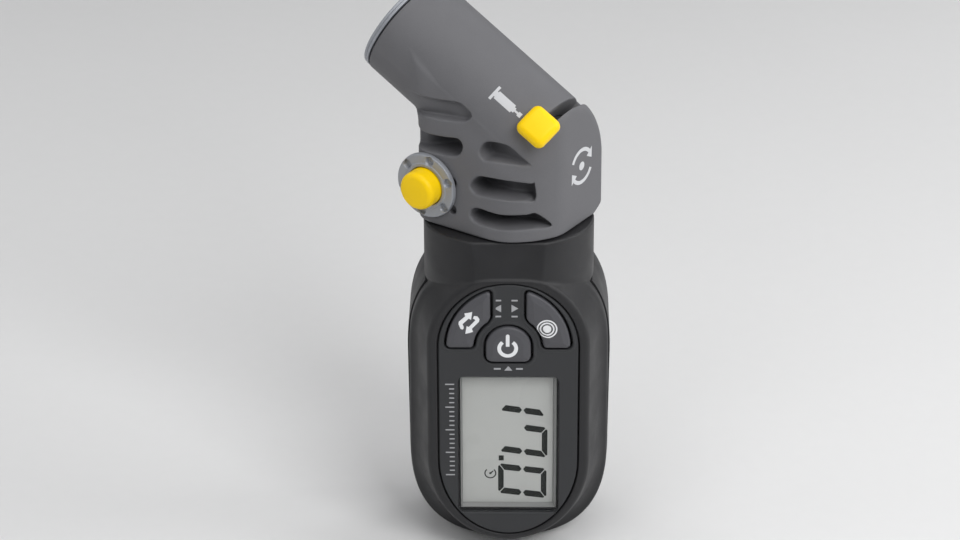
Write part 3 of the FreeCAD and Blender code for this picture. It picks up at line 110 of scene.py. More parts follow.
def squircle(x, z, a, b, n):
    px, pz = np.abs(x) / a, np.abs(z) / b
    g = np.maximum((px ** n + pz ** n) ** (1.0 / n), 1e-3)
    gx = (px / g) ** (n - 1) / a
    gz = (pz / g) ** (n - 1) / b
    return (g - 1) / np.maximum(np.hypot(gx, gz), 1e-6)


def oblong(x, z, a, top, top_b, low, low_b):
    """Straight sides with half an ellipse above z = top and below z = low."""
    mid = np.abs(x) - a
    up = ellipse(x, z - top, a, top_b)
    down = ellipse(x, z - low, a, low_b)
    return np.where(z > top, up, np.where(z < low, down, mid))


def smooth_loop(points, per=5):
    """A closed Catmull-Rom curve through the points."""
    p = np.asarray(points, float)
    out = []
    n = len(p)
    for i in range(n):
        a, b, c, d = p[i - 1], p[i], p[(i + 1) % n], p[(i + 2) % n]
        for j in range(per):
            t = j / per
            out.append(0.5 * (2 * b + (c - a) * t + (2 * a - 5 * b + 4 * c - d) * t * t + (3 * b - a - 3 * c + d) * t ** 3))
    return np.array(out)


class Outline:
    """Signed distance to a closed outline, kept on a fine grid."""

    def __init__(self, points, lo, hi, pitch=0.08, per=5):
        loop = smooth_loop(points, per)
        self.lo, self.pitch = np.array(lo, float), pitch
        nx, nz = [int(round((hi[k] - lo[k]) / pitch)) + 1 for k in (0, 1)]
        x = lo[0] + np.arange(nx) * pitch
        z = lo[1] + np.arange(nz) * pitch
        X, Z = np.meshgrid(x, z, indexing="ij")
        near = np.full(X.shape, 1e9)
        inside = np.zeros(X.shape, bool)
        for i in range(len(loop)):
            a, b = loop[i], loop[i - 1]
            e = b - a
            wx, wz = X - a[0], Z - a[1]
            t = np.clip((wx * e[0] + wz * e[1]) / max(e @ e, 1e-12), 0, 1)
            near = np.minimum(near, (wx - e[0] * t) ** 2 + (wz - e[1] * t) ** 2)
            if abs(e[1]) > 1e-12:
                crosses = (a[1] > Z) != (b[1] > Z)
                inside ^= crosses & (wx < e[0] * wz / e[1])
        self.grid = np.where(inside, -1.0, 1.0) * np.sqrt(near)

    def __call__(self, x, z):
        fx = np.clip((x - self.lo[0]) / self.pitch, 0, self.grid.shape[0] - 1.001)
        fz = np.clip((z - self.lo[1]) / self.pitch, 0, self.grid.shape[1] - 1.001)
        i, k = fx.astype(int), fz.astype(int)
        s, t = fx - i, fz - k
        g = self.grid
        return (g[i, k] * (1 - s) + g[i + 1, k] * s) * (1 - t) + (g[i, k + 1] * (1 - s) + g[i + 1, k + 1] * s) * t


def sample(f, pts, chunk=300000):
    out = np.empty(len(pts))
    for i in range(0, len(pts), chunk):
        p = pts[i:i + chunk]
        out[i:i + chunk] = f(p[:, 0], p[:, 1], p[:, 2])
    return out


def gradient(f, pts, eps=0.02):
    g = np.empty((len(pts), 3))
    for a in range(3):
        d = np.zeros(3)
        d[a] = eps
        g[:, a] = (sample(f, pts + d) - sample(f, pts - d)) / (2 * eps)
    return g


def skin(f, lo, hi, h, sweeps=3):
    """Closed quad mesh of f = 0: one point for each cell that the surface crosses, then moved onto the surface."""
    B = 4
    lo = np.asarray(lo, float)
    cells = (np.ceil((np.asarray(hi, float) - lo) / (h * B)).astype(int)) * B
    blocks = cells // B
    idx = np.stack(np.meshgrid(*[np.arange(b) for b in blocks], indexing="ij"), -1).reshape(-1, 3)
    mid = sample(f, lo + (idx * B + B / 2) * h).reshape(blocks)
    close = np.abs(mid) < 1.15 * B * h + 0.35
    wide = close
    for a in range(3):
        wide = np.repeat(wide, B, a)
    sign = np.where(mid < 0, -1.0, 1.0)
    for a in range(3):
        sign = np.repeat(sign, B, a)
    nodes = cells + 1
    V = np.full(nodes, 9.0, np.float32)
    V[:-1, :-1, :-1] = 9.0 * sign
    use = np.zeros(nodes, bool)
    for i in (0, 1):
        for j in (0, 1):
            for k in (0, 1):
                use[i:i + cells[0], j:j + cells[1], k:k + cells[2]] |= wide
    at = np.argwhere(use)
    V[use] = sample(f, lo + at * h)
    inside = V < 0
    cell = np.argwhere(wide)
    corner = np.array([(i, j, k) for i in (0, 1) for j in (0, 1) for k in (0, 1)])
    vals = np.stack([V[cell[:, 0] + c[0], cell[:, 1] + c[1], cell[:, 2] + c[2]] for c in corner], 1)
    neg = vals < 0
    live = neg.any(1) & ~neg.all(1)
    cell, vals = cell[live], vals[live].astype(float)
    total, count = np.zeros((len(cell), 3)), np.zeros(len(cell))
    for a in range(8):
        for b in range(a + 1, 8):
            if np.abs(corner[a] - corner[b]).sum() == 1:
                va, vb = vals[:, a], vals[:, b]
                cut = (va < 0) != (vb < 0)
                t = np.where(cut, va / np.where(cut, va - vb, 1.0), 0.0)
                total += np.where(cut[:, None], corner[a] + (corner[b] - corner[a]) * t[:, None], 0.0)
                count += cut
    pts = lo + (cell + total / count[:, None]) * h
    ids = np.full(cells, -1, np.int32)
    ids[cell[:, 0], cell[:, 1], cell[:, 2]] = np.arange(len(cell))
    quads = []
    for a in range(3):
        b, c = (a + 1) % 3, (a + 2) % 3
        first = [slice(None)] * 3
        second = [slice(None)] * 3
        first[a], second[a] = slice(0, -1), slice(1, None)
        low, high = inside[tuple(first)], inside[tuple(second)]
        e = np.argwhere(low != high)
        e = e[(e[:, b] > 0) & (e[:, c] > 0) & (e[:, b] < nodes[b] - 1) & (e[:, c] < nodes[c] - 1)]
        ring = []
        for db, dc in ((1, 1), (0, 1), (0, 0), (1, 0)):
            j = e.copy()
            j[:, b] -= db
            j[:, c] -= dc
            ring.append(ids[j[:, 0], j[:, 1], j[:, 2]])
        ring = np.stack(ring, 1)
        out = low[e[:, 0], e[:, 1], e[:, 2]]
        ring[~out] = ring[~out][:, ::-1]
        quads.append(ring)
    quads = np.concatenate(quads)
    quads = quads[(quads >= 0).all(1)]
    for _ in range(sweeps):
        g = gradient(f, pts)
        d = sample(f, pts)
        move = -d[:, None] * g / np.maximum((g * g).sum(1), 0.05)[:, None]
        size = np.linalg.norm(move, axis=1)
        move *= np.minimum(1.0, 0.35 * h / np.maximum(size, 1e-12))[:, None]
        pts = pts + move
    g = gradient(f, pts, 0.03)
    normals = g / np.maximum(np.linalg.norm(g, axis=1), 1e-9)[:, None]
    return pts, quads, normals


# ------------------------------------------------------------------ finishes
def node_tree(name):
    m = bpy.data.materials.new(name)
    m.use_nodes = True
    nt = m.node_tree
    b = nt.nodes["Principled BSDF"]
    at = nt.nodes.new("ShaderNodeTexCoord")
    return m, nt, b, at.outputs["Object"]


def noise(nt, at, scale, detail=3.0, rough=0.55, stretch=None):
    n = nt.nodes.new("ShaderNodeTexNoise")
    n.inputs["Scale"].default_value = scale
    n.inputs["Detail"].default_value = detail
    n.inputs["Roughness"].default_value = rough
    if stretch:
        m = nt.nodes.new("ShaderNodeMapping")
        m.inputs["Scale"].default_value = stretch
        nt.links.new(at, m.inputs["Vector"])
        at = m.outputs["Vector"]
    nt.links.new(at, n.inputs["Vector"])
    return n.outputs["Fac"]


def spread(nt, value, low, high, a=0.3, b=0.7):
    r = nt.nodes.new("ShaderNodeMapRange")
    r.inputs["From Min"].default_value = a
    r.inputs["From Max"].default_value = b
    r.inputs["To Min"].default_value = low
    r.inputs["To Max"].default_value = high
    nt.links.new(value, r.inputs["Value"])
    return r.outputs["Result"]


def tinted(nt, value, dark, light):
    c = nt.nodes.new("ShaderNodeValToRGB")
    c.color_ramp.elements[0].position = 0.3
    c.color_ramp.elements[1].position = 0.7
    c.color_ramp.elements[0].color = (*dark, 1)
    c.color_ramp.elements[1].color = (*light, 1)
    nt.links.new(value, c.inputs["Fac"])
    return c.outputs["Color"]


def bump(nt, b, height, strength, distance=0.0001):
    n = nt.nodes.new("ShaderNodeBump")
    n.inputs["Strength"].default_value = strength
    n.inputs["Distance"].default_value = distance
    nt.links.new(height, n.inputs["Height"])
    nt.links.new(n.outputs["Normal"], b.inputs["Normal"])
    return n


def linear(*rgb):
    return tuple((c / 255.0 / 12.92) if c <= 10 else ((c / 255.0 + 0.055) / 1.055) ** 2.4 for c in rgb)


def finish_of(name, rgb, rough=0.5, vary=0.08, grain=4500.0, grain_high=0.25, depth=0.00006, metal=0.0, spec=0.5, rough_vary=0.06, coat=0.0, blotch=220.0, stretch=None):
    """Moulded, cast or machined finish: fine grain, broad drift of tone, uneven sheen."""
    m, nt, b, at = node_tree(name)
    base = linear(*rgb)
    fine = noise(nt, at, grain, 2.0, 0.6, stretch)
    broad = noise(nt, at, blotch, 3.0, 0.5)
    mix = nt.nodes.new("ShaderNodeMath")
    mix.operation = "MULTIPLY_ADD"
    mix.inputs[1].default_value = 0.45
    nt.links.new(fine, mix.inputs[0])
    half = nt.nodes.new("ShaderNodeMath")
    half.operation = "MULTIPLY"
    half.inputs[1].default_value = 0.55
    nt.links.new(broad, half.inputs[0])
    nt.links.new(half.outputs[0], mix.inputs[2])
    nt.links.new(tinted(nt, mix.outputs[0], tuple(c * (1 - vary) for c in base), tuple(min(1, c * (1 + vary)) for c in base)), b.inputs["Base Color"])
    nt.links.new(spread(nt, broad, rough - rough_vary, rough + rough_vary), b.inputs["Roughness"])
    bump(nt, b, fine, grain_high, depth)
    b.inputs["Metallic"].default_value = metal
    b.inputs["Specular IOR Level"].default_value = spec
    if coat:
        b.inputs["Coat Weight"].default_value = coat
        b.inputs["Coat Roughness"].default_value = 0.12
    return m


def clear_finish(name):
    m, nt, b, at = node_tree(name)
    smear = noise(nt, at, 180.0, 2.0, 0.5)
    nt.links.new(tinted(nt, smear, (0.02, 0.022, 0.022), (0.03, 0.032, 0.032)), b.inputs["Base Color"])
    nt.links.new(spread(nt, smear, 0.03, 0.07), b.inputs["Roughness"])
    b.inputs["Alpha"].default_value = 0.07
    b.inputs["Specular IOR Level"].default_value = 0.5
    m.blend_method = "BLEND"
    return m


FINISH = {
    "head_grey": finish_of("moulded_grey", (101, 101, 104), 0.62, 0.07, 5200.0, 0.35, 0.00007, spec=0.35),
    "pod_black": finish_of("moulded_black", (35, 35, 37), 0.50, 0.10, 6000.0, 0.22, 0.00005, spec=0.4),
    "panel_grey": finish_of("panel_dark", (52, 53, 55), 0.55, 0.07, 7000.0, 0.20, 0.00004, spec=0.35),
    "key_grey": finish_of("key_dark", (78, 78, 82), 0.50, 0.06, 5200.0, 0.20, 0.00004, spec=0.4),
    "signal_yellow": finish_of("yellow_plastic", (254, 210, 2), 0.45, 0.03, 2600.0, 0.05, 0.00003, spec=0.25, blotch=120.0),
    "satin_aluminium": finish_of("satin_aluminium", (152, 155, 161), 0.45, 0.05, 7500.0, 0.25, 0.00004, metal=0.35, spec=0.5),
    "black_rubber": finish_of("black_rubber", (34, 34, 35), 0.72, 0.12, 3500.0, 0.3, 0.00006),
    "brass": finish_of("brass", (188, 160, 92), 0.32, 0.05, 3000.0, 0.12, 0.00003, metal=1.0, stretch=(1, 1, 6)),
    "steel": finish_of("steel", (176, 177, 178), 0.30, 0.05, 3200.0, 0.12, 0.00003, metal=1.0, stretch=(1, 5, 1)),
    "lcd_bezel": finish_of("display_bezel", (156, 157, 156), 0.40, 0.05, 3000.0, 0.10, 0.00003),
    "circuit_green": finish_of("solder_mask", (30, 92, 52), 0.35, 0.12, 1400.0, 0.15, 0.00004, coat=0.4),
    "component_black": finish_of("component_black", (42, 42, 44), 0.55, 0.10, 4000.0, 0.2, 0.00004),
    "silicone": finish_of("silicone", (205, 205, 200), 0.60, 0.05, 1800.0, 0.12, 0.00004),
    "washer_white": finish_of("washer_white", (222, 222, 218), 0.50, 0.03, 2400.0, 0.12, 0.00004),
    "lcd_glass": finish_of("display_cell", (210, 212, 209), 0.28, 0.012, 900.0, 0.02, 0.00001, spec=0.3, blotch=60.0),
    "clear_window": clear_finish("window"),
}
INK = {
    "white": finish_of("print_white", (236, 237, 239), 0.5, 0.03, 5000.0, 0.12, 0.00002),
    "grey": finish_of("print_grey", (168, 169, 172), 0.5, 0.04, 5000.0, 0.12, 0.00002),
    "pale": finish_of("print_pale", (200, 201, 204), 0.55, 0.04, 5000.0, 0.12, 0.00002),
    "segment": finish_of("segment_dark", (44, 47, 45), 0.45, 0.05, 2500.0, 0.05, 0.00001, spec=0.2),
}

slots_of = {}
for entry in frame["record"].get("nodes", []) or []:
    if isinstance(entry, dict):
        name = entry.get("name") or entry.get("node")
        slots_of[name] = entry.get("material") or entry.get("slot")


# ------------------------------------------------------------------ pieces
def make(name, verts, faces, body, material, stands_for=(), normals=None, smooth=True):
    me = bpy.data.meshes.new(name)
    me.from_pydata([tuple(p) for p in verts], [], [tuple(int(i) for i in f) for f in faces])
    me.update()
    if smooth:
        me.shade_smooth()
    if normals is not None:
        me.normals_split_custom_set_from_vertices([tuple(n) for n in normals])
    ob = bpy.data.objects.new(name, me)
    scene.collection.objects.link(ob)
    me.materials.append(material)
    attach(ob, body)
    if stands_for:
        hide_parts(*stands_for)
    return ob


def carved(name, f, lo, hi, h, body, slot, axes=POD, origin=(0, 0, 0), stands_for=()):
    pts, quads, normals = skin(f, lo, hi, h)
    ob = make(name, row(pts, axes, origin), quads, body, FINISH[slot], stands_for, normals @ np.asarray(axes))
    print("carved %s: %d quads" % (name, len(quads)))
    return ob


def rounded_profile(points, steps=5):
    """Points are (radius, height, rounding). Gives the points and normals of the closed half section, rounded at its corners."""
    n = len(points)
    pts, nor = [], []
    area = 0.0
    for i in range(n):
        a, b = points[i], points[(i + 1) % n]
        area += a[0] * b[1] - b[0] * a[1]
    turn = 1.0 if area > 0 else -1.0
    for i in range(n):
        p0, p1, p2 = [np.array(points[j % n][:2], float) for j in (i - 1, i, i + 1)]
        r = points[i][2] if len(points[i]) > 2 else 0.0
        a, b = p0 - p1, p2 - p1
        la, lb = np.linalg.norm(a), np.linalg.norm(b)
        a, b = a / la, b / lb
        na, nb = turn * np.array([-a[1], a[0]]), turn * np.array([b[1], -b[0]])
        if points[i][0] < 1e-9:
            pts.append(p1)
            nor.append(np.array([0.0, 1.0 if (nb if abs(nb[1]) > abs(na[1]) else na)[1] > 0 else -1.0]))
            continue
        if r <= 0:
            r = 0.02
        half = math.acos(max(-1, min(1, float(a @ b)))) / 2
        if half > math.pi / 2 - 1e-4:
            pts.append(p1)
            nor.append(na)
            continue
        back = min(r / math.tan(half), 0.48 * la, 0.48 * lb)
        r = back * math.tan(half)
        mid = (a + b) / np.linalg.norm(a + b)
        centre = p1 + mid * (r / math.sin(half))
        convex = (na + nb) @ (-mid) > 0
        s, e = p1 + a * back, p1 + b * back
        for k in range(steps + 1):
            f = k / steps
            v = (s - centre) * (1 - f) + (e - centre) * f
            v = v / np.linalg.norm(v)
            pts.append(centre + v * r)
            nor.append(v if convex else -v)
    return np.array(pts), np.array(nor)


def lathe(name, points, body, slot, axes, origin, stands_for=(), segs=112, steps=5):
    """Turned piece about local Z."""
    prof, pn = rounded_profile(points, steps)
    verts, normals, faces, rings = [], [], [], []
    for (r, hgt), (nr, nz) in zip(prof, pn):
        if r < 1e-9:
            rings.append([len(verts)])
            verts.append((0, 0, hgt))
            normals.append((0, 0, nz))
        else:
            rings.append(list(range(len(verts), len(verts) + segs)))
            for k in range(segs):
                c, s = math.cos(2 * math.pi * k / segs), math.sin(2 * math.pi * k / segs)
                verts.append((r * c, r * s, hgt))
                normals.append((nr * c, nr * s, nz))
    m = len(rings)
    for i in range(m):
        a, b = rings[i], rings[(i + 1) % m]
        if len(a) == 1 and len(b) == 1:
            continue
        for k in range(segs):
            j = (k + 1) % segs
            if len(a) == 1:
                faces.append((a[0], b[j], b[k]))
            elif len(b) == 1:
                faces.append((a[k], a[j], b[0]))
            else:
                faces.append((a[k], a[j], b[j], b[k]))
    area = sum(prof[i][0] * prof[(i + 1) % m][1] - prof[(i + 1) % m][0] * prof[i][1] for i in range(m))
    if area < 0:
        faces = [f[::-1] for f in faces]
    return make(name, row(verts, axes, origin), faces, body, FINISH[slot], stands_for, np.array(normals) @ np.asarray(axes))


def basis(x, y, z):
    return np.stack([np.asarray(c, float) for c in (x, y, z)])


# ------------------------------------------------------------------ head shell
def barrel_coords(u, z):
    return u * math.cos(TILT) + (z - ELBOW) * math.sin(TILT), -u * math.sin(TILT) + (z - ELBOW) * math.cos(TILT)


BOUNDS = ((-15.5, -1.0), (17.5, 30.0))
R3 = Outline([(1.05, 4.55), (0.82, 5.42), (0.33, 6.0), (-0.4, 6.33), (-1.5, 6.37), (-3.05, 6.2), (-4.6, 6.05), (-6.24, 6.02), (-7.8, 6.04), (-9.46, 6.05), (-10.67, 6.04), (-12.3, 3.08), (-9.98, 3.05), (-8.38, 2.98), (-6.61, 2.92), (-4.59, 2.92), (-2.54, 3.02), (-0.68, 3.12), (0.28, 3.44), (0.82, 3.95)], *BOUNDS)
R2 = Outline([(1.0, 10.4), (0.83, 11.2), (0.3, 12.0), (-0.45, 12.72), (-1.3, 13.1), (-2.4, 13.24), (-4.55, 13.3), (-6.7, 13.15), (-8.4, 12.8), (-10.0, 12.38), (-10.35, 12.28), (-10.4, 8.98), (-8.8, 9.0), (-7.2, 9.08), (-5.3, 9.2), (-3.06, 9.23), (-1.4, 9.12), (-0.2, 9.15), (0.55, 9.6)], *BOUNDS)
R1 = Outline([(-0.95, 18.01), (-1.11, 18.83), (-1.45, 19.51), (-2.13, 20.01), (-2.88, 20.23), (-3.93, 20.31), (-4.98, 20.27), (-5.98, 20.08), (-6.83, 19.69), (-7.68, 18.96), (-8.73, 17.81), (-9.53, 16.81), (-10.08, 16.13), (-9.23, 16.24), (-7.39, 16.51), (-5.39, 16.64), (-3.64, 16.65), (-2.63, 16.56), (-1.88, 16.61), (-1.28, 17.16)], *BOUNDS)
L2 = Outline([(2.75, 18.0), (2.87, 18.65), (3.2, 19.1), (3.72, 19.38), (4.33, 19.42), (6.19, 19.12), (8.1, 18.9), (9.77, 18.76), (12.0, 18.7), (17.2, 18.6), (17.2, 14.9), (11.36, 15.05), (9.8, 15.1), (8.1, 15.23), (6.1, 15.38), (4.85, 15.64), (3.95, 15.98), (3.3, 16.55), (2.87, 17.3)], *BOUNDS)
L1 = Outline([(1.45, 24.35), (1.87, 24.93), (2.57, 25.39), (3.37, 25.86), (4.17, 26.15), (4.97, 26.23), (6.51, 26.11), (8.62, 25.93), (11.11, 25.86), (16.87, 25.71), (16.87, 21.61), (12.72, 21.86), (10.99, 22.16), (9.56, 22.29), (7.95, 22.35), (6.11, 22.50), (4.30, 22.70), (3.07, 22.91), (2.25, 23.31), (1.72, 23.79)], *BOUNDS)


def head_form(u, w, z):
    """The outer form without grooves and bores."""
    t, n = barrel_coords(u, z)
    base = both(u - 15.0, np.abs(w) - 11.5, 5.0)
    base = smax(base, 0.969 * np.abs(w) + 0.247 * n - 10.55, 0.8)
    base = smax(base, n - 2.4, 0.5)
    tube = np.hypot(w, n) - 10.55
    form = smin(base, tube, 0.35 + 1.6 * ramp(u, 8.0, 14.0))
    # the far back corner bulges out past the barrel
    far = np.where(n > -1.6, np.hypot(w, n + 1.6), np.abs(w)) - 12.1
    far = smax(smax(smax(far, u + 8.0, 3.0), w + 3.5, 3.0), t + 9.3, 0.5)
    form = smin(form, far, 0.8)
    arc = np.hypot(np.minimum(u - 1.357, 0.0), np.maximum(w + 3.243, 0.0)) - 15.69
    back = smax(-13.45 - u, arc, 0.6)
    soft = 1.35 + 1.25 * ramp(w, -2.0, 4.0) * ramp(n, -3.0, 0.0)
    form = smax(form, back, soft)
    form = both(form, 0.3 - z, 0.45)
    chamfer = (1 - (u + 13.45) / 2.4 - (w + 11.5) / 2.6 - (z - 0.3) / 1.5) / math.sqrt(1 / 2.4 ** 2 + 1 / 2.6 ** 2 + 1 / 1.5 ** 2)
    return smax(form, chamfer, 0.4)


def head_outside(u, w, z):
    t, n = barrel_coords(u, z)
    form = head_form(u, w, z)
    form = smax(form, t - 26.15, 0.2)
    # round boss behind the release flange
    boss = smax(np.hypot(u - 10.4, z - 8.45) - 5.5, np.maximum(w - 11.47, 4.5 - w), 0.2)
    form = smin(form, boss, 0.5)
    rho = np.hypot(w, n)
    ring = 9.15 + 1.5 * ramp(u, 6.0, 13.0)
    inner = np.sqrt(np.maximum(ring ** 2 - n * n, 4.0))
    floors = (
        (R3, 5.35 + 0.22 * (z - 4.5) - 2.2 * ramp(-u, 2.5, 8.5), True, False),
        (R2, 5.9 - 1.9 * ramp(-u, 4.5, 9.0), True, False),
        (R1, 7.45 + 0 * z, True, False),
        (L2, 5.0 + 3.1 * ramp(u, 7.5, 13.0), True, True),
        (L1, np.minimum(inner, 9.3 + 1.5 * ramp(u, 6.0, 13.0)), True, True),
    )
    for outline, floor, near, far in floors:
        flat = outline(u, z)
        if near:
            form = smax(form, -both(flat, floor - w, 0.5), 0.42)
        if far:
            form = smax(form, -both(flat, floor + w, 0.5), 0.42)
    # two notches beside the release flange
    for cu, cz, r in ((5.1, 10.2, 0.95), (5.15, 4.55, 0.95)):
        notch = smax(np.hypot(u - cu, z - cz) - r, 10.4 - w, 0.2)
        form = smax(form, -notch, 0.3)
    # slot for the selector's stem
    fan = np.abs(w) * math.cos(math.radians(41)) - n * math.sin(math.radians(41)) - 1.7
    slot = np.maximum(np.maximum(np.abs(t + 8.5) - 0.9, fan), np.maximum(5.0 - rho, 3.0 - n))
    return smax(form, -slot, 0.3)


def head_shell(u, w, z):
    t, n = barrel_coords(u, z)
    form = head_outside(u, w, z)
    rho = np.hypot(w, n)
    socket = np.minimum(np.maximum(rho - 8.25, 13.0 - t), np.maximum(rho - 6.2, np.maximum(-10.25 - t, t - 14.0)))
    rel = np.hypot(u - 10.4, z - 8.45)
    release = np.minimum(np.maximum(rel - 4.45, 4.7 - w), np.maximum(rel - 2.6, np.maximum(-0.9 - w, w - 6.0)))
    inlet = np.maximum(np.hypot(u, z - 9.0) - 4.05, w + 5.9)
    spigot = np.maximum(np.hypot(u, w) - 5.02, z - 9.1)
    bores = np.minimum(np.minimum(socket, release), np.minimum(inlet, spigot))
    return smax(form, -bores, 0.15)


carved("head_shell.skin", head_shell, (-14.6, -12.9, -0.4), (29.0, 12.9, 43.7), 0.24, "head", "head_grey", HEAD, (0, 0, 0), ("head_shell",))

# ------------------------------------------------------------------ valve socket end
BARREL = basis(-UPN, W, ALONG)
ELBOW_AT = (0, 0, ELBOW)
lathe(
    "end_cap.ring",
    [(4.15, 21.0, 0.1), (8.2, 21.0, 0.15), (8.2, 26.5, 0.05), (10.48, 26.5, 0.14), (10.48, 26.98, 0.1), (10.3, 27.08, 0.03), (10.4, 27.18, 0.1), (10.4, 27.7, 0.28), (4.15, 27.7, 0.45)],
    "head", "satin_aluminium", BARREL, ELBOW_AT, ("end_cap",), 144,
)
lathe("cap_seal.ring", [(8.27, 26.16, 0.03), (9.55, 26.16, 0.1), (9.55, 26.49, 0.1), (8.27, 26.49, 0.03)], "head", "black_rubber", BARREL, ELBOW_AT, ("cap_seal",))
lathe("valve_gasket.bush", [(4.2, 14.2, 0.1), (8.1, 14.2, 0.2), (8.1, 20.9, 0.3), (5.2, 20.9, 0.2), (4.2, 20.1, 0.25)], "head", "black_rubber", BARREL, ELBOW_AT, ("valve_gasket",))
lathe("depressor_pin.turned", [(0, -2.1), (1.5, -2.1, 0.2), (1.5, 8.4, 0.1), (3.2, 8.4, 0.2), (3.2, 9.5, 0.2), (1.56, 9.5, 0.1), (1.56, 17.0, 0.15), (1.1, 17.6, 0.15), (0, 17.6)], "depressor", "brass", BARREL, ELBOW_AT, ("depressor_pin",), 64)

# ------------------------------------------------------------------ release valve
REL_AXES = basis(U, -ZED, W)
REL_AT = U * 10.4 + W * 11.5 + ZED * 8.45


def release_housing(x, y, c):
    rho = np.hypot(x, y)
    rim = both(rho - 6.4 + 0.16 * np.maximum(c - 0.6, 0), np.abs(c - 0.575) - 0.525, 0.16)
    hub = np.maximum(rho - 4.4, np.maximum(-6.5 - c, c - 0.4))
    form = smin(rim, hub, 0.3)
    lip = both(np.abs(rho - 4.22) - 0.36, np.abs(c - 0.95) - 0.3, 0.12)
    form = smin(form, lip, 0.15)
    bore = np.minimum(np.maximum(rho - 3.85, -3.5 - c), rho - 2.1)
    form = smax(form, -bore, 0.12)
    form = smax(form, -np.maximum(3.45 - rho, np.abs(c + 5.3) - 0.6), 0.12)
    for k in range(6):
        a = math.radians(60 * k + 20)
        hole = np.hypot(x - 5.4 * math.cos(a), y - 5.4 * math.sin(a)) - 0.72
        form = smax(form, -smax(hole - 0.35 * np.maximum(c - 0.55, 0), 0.28 - c, 0.3), 0.25)
    return form


carved("release_housing.turned", release_housing, (-6.9, -6.9, -6.8), (6.9, 6.9, 1.7), 0.15, "head", "satin_aluminium", REL_AXES, REL_AT, ("release_housing",))
lathe(
    "release_button.dome",
    [(0, -1.2), (3.72, -1.2, 0.2), (3.72, 4.42, 1.25), (1.6, 4.64, 2.0), (0, 4.7)],
    "release", "signal_yellow", REL_AXES, REL_AT, ("release_button",), 112, 9,
)

# ------------------------------------------------------------------ springs
def spring(name, mean, wire, low, high, turns, axes, origin, stands_for):
    """A round wire on a helix about local Z, held at its low end."""
    steps, sides = int(turns * 36), 12
    rise = (high - low - 2 * wire) / turns
    verts, normals = [], []
    for i in range(steps + 1):
        a = 2 * math.pi * turns * i / steps
        out = np.array([math.cos(a), math.sin(a), 0.0])
        run = np.array([-math.sin(a) * mean, math.cos(a) * mean, rise / (2 * math.pi)])
        run = run / np.linalg.norm(run)
        side = np.cross(run, out)
        mid = out * mean + np.array([0, 0, low + wire + rise * a / (2 * math.pi)])
        for k in range(sides):
            b = 2 * math.pi * k / sides
            n = out * math.cos(b) + side * math.sin(b)
            verts.append(mid + n * wire)
            normals.append(n)
    faces = []
    for i in range(steps):
        for k in range(sides):
            j = (k + 1) % sides
            faces.append((i * sides + k, (i + 1) * sides + k, (i + 1) * sides + j, i * sides + j))
    faces.append(tuple(range(sides)))
    faces.append(tuple(steps * sides + k for k in reversed(range(sides))))
    ob = make(name, row(verts, axes, origin), faces, "head", FINISH["steel"], stands_for)
    me = ob.data
    volume = sum(p.center.dot(p.normal) * p.area for p in me.polygons)
    if volume < 0:
        me.flip_normals()
    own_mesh(ob)
    return ob


spring("depressor_spring.coil", 2.45, 0.3, -1.4, 8.3, 7, BARREL, ELBOW_AT, ("depressor_spring",))
spring("release_spring.coil", 2.55, 0.22, -3.45, -1.25, 3, REL_AXES, REL_AT, ("release_spring",))

# ------------------------------------------------------------------ selector tab
PHI = math.radians(49.0)
TAB_X = math.cos(PHI) * W + math.sin(PHI) * UPN
TAB_Y = math.cos(PHI) * UPN - math.sin(PHI) * W
TAB_AXES = basis(TAB_X, TAB_Y, ALONG)
TAB_AT = np.array(ELBOW_AT) - ALONG * 8.5


def selector_tab(x, y, z):
    plan = both(np.abs(y) - 3.2, np.abs(z) - 3.2, 1.35)
    lean = plan + 0.04 * np.maximum(x - 11.1, 0)
    crown = np.hypot(x, y) - 13.32 + 0.02 * z * z
    cap = both(lean, crown, 1.15)
    cap = smax(cap, 11.05 - x, 0.3)
    stem = np.maximum(np.maximum(np.abs(y) - 1.6, np.abs(z) - 0.8), np.maximum(3.1 - x, x - 11.5))
    return smin(cap, stem, 0.15)


carved("selector_tab.pad", selector_tab, (2.8, -3.7, -3.7), (13.8, 3.7, 3.7), 0.14, "selector", "signal_yellow", TAB_AXES, TAB_AT, ("selector_tab",))


# ------------------------------------------------------------------ pod
def panel_plan(x, z):
    return oblong(x, z, 13.32, -21.3, 13.5, -46.0, 16.5)


def island_plan(x, z):
    return oblong(x, z, 15.23, -21.3, 15.4, -46.0, 17.86)


def front_plan(x, z):
    mid = np.abs(x) - (19.05 + 0.05 * np.clip((-27.0 - z) / 19.0, 0, 1))
    up = squircle(x, z + 27.0, 19.05, 20.0, 2.8)
    down = squircle(x, z + 46.0, 19.1, 22.0, 2.6)
    return np.where(z > -27.0, up, np.where(z < -46.0, down, mid))


def wing_plan(x, z, grow=0.0):
    edge = oblong(x, z, 11.8, -21.3, 12.75, -60.0, 8.0)
    plan = both(edge, x + 3.35, 0.85)
    plan = both(plan, -21.2 - z, 0.95)
    plan = both(plan, 6.5 - np.hypot(x + 0.05, z + 21.0), 0.8)
    return plan - grow


def power_plan(x, z, grow=0.0):
    top = np.hypot(x, z + 20.95) - 4.3
    low = both(np.abs(x) - 4.3, -24.25 - z, 1.4)
    return np.where(z > -20.95, top, np.maximum(low, z + 16.0)) - grow


def rect_plan(x, z, hx, hz, cz, r):
    return both(np.abs(x) - hx, np.abs(z - cz) - hz, r)


LCD_Z = -42.66


def pod_hull(x, F, z):
    d = island_plan(x, z)
    cone = (F - 13.5 + 2.7 * d) / 2.879
    top = smax(cone, F - 13.5, 0.8)
    upper = smin(top, F - 5.0, 3.2)
    return smax(upper, front_plan(x, z), 0.5)


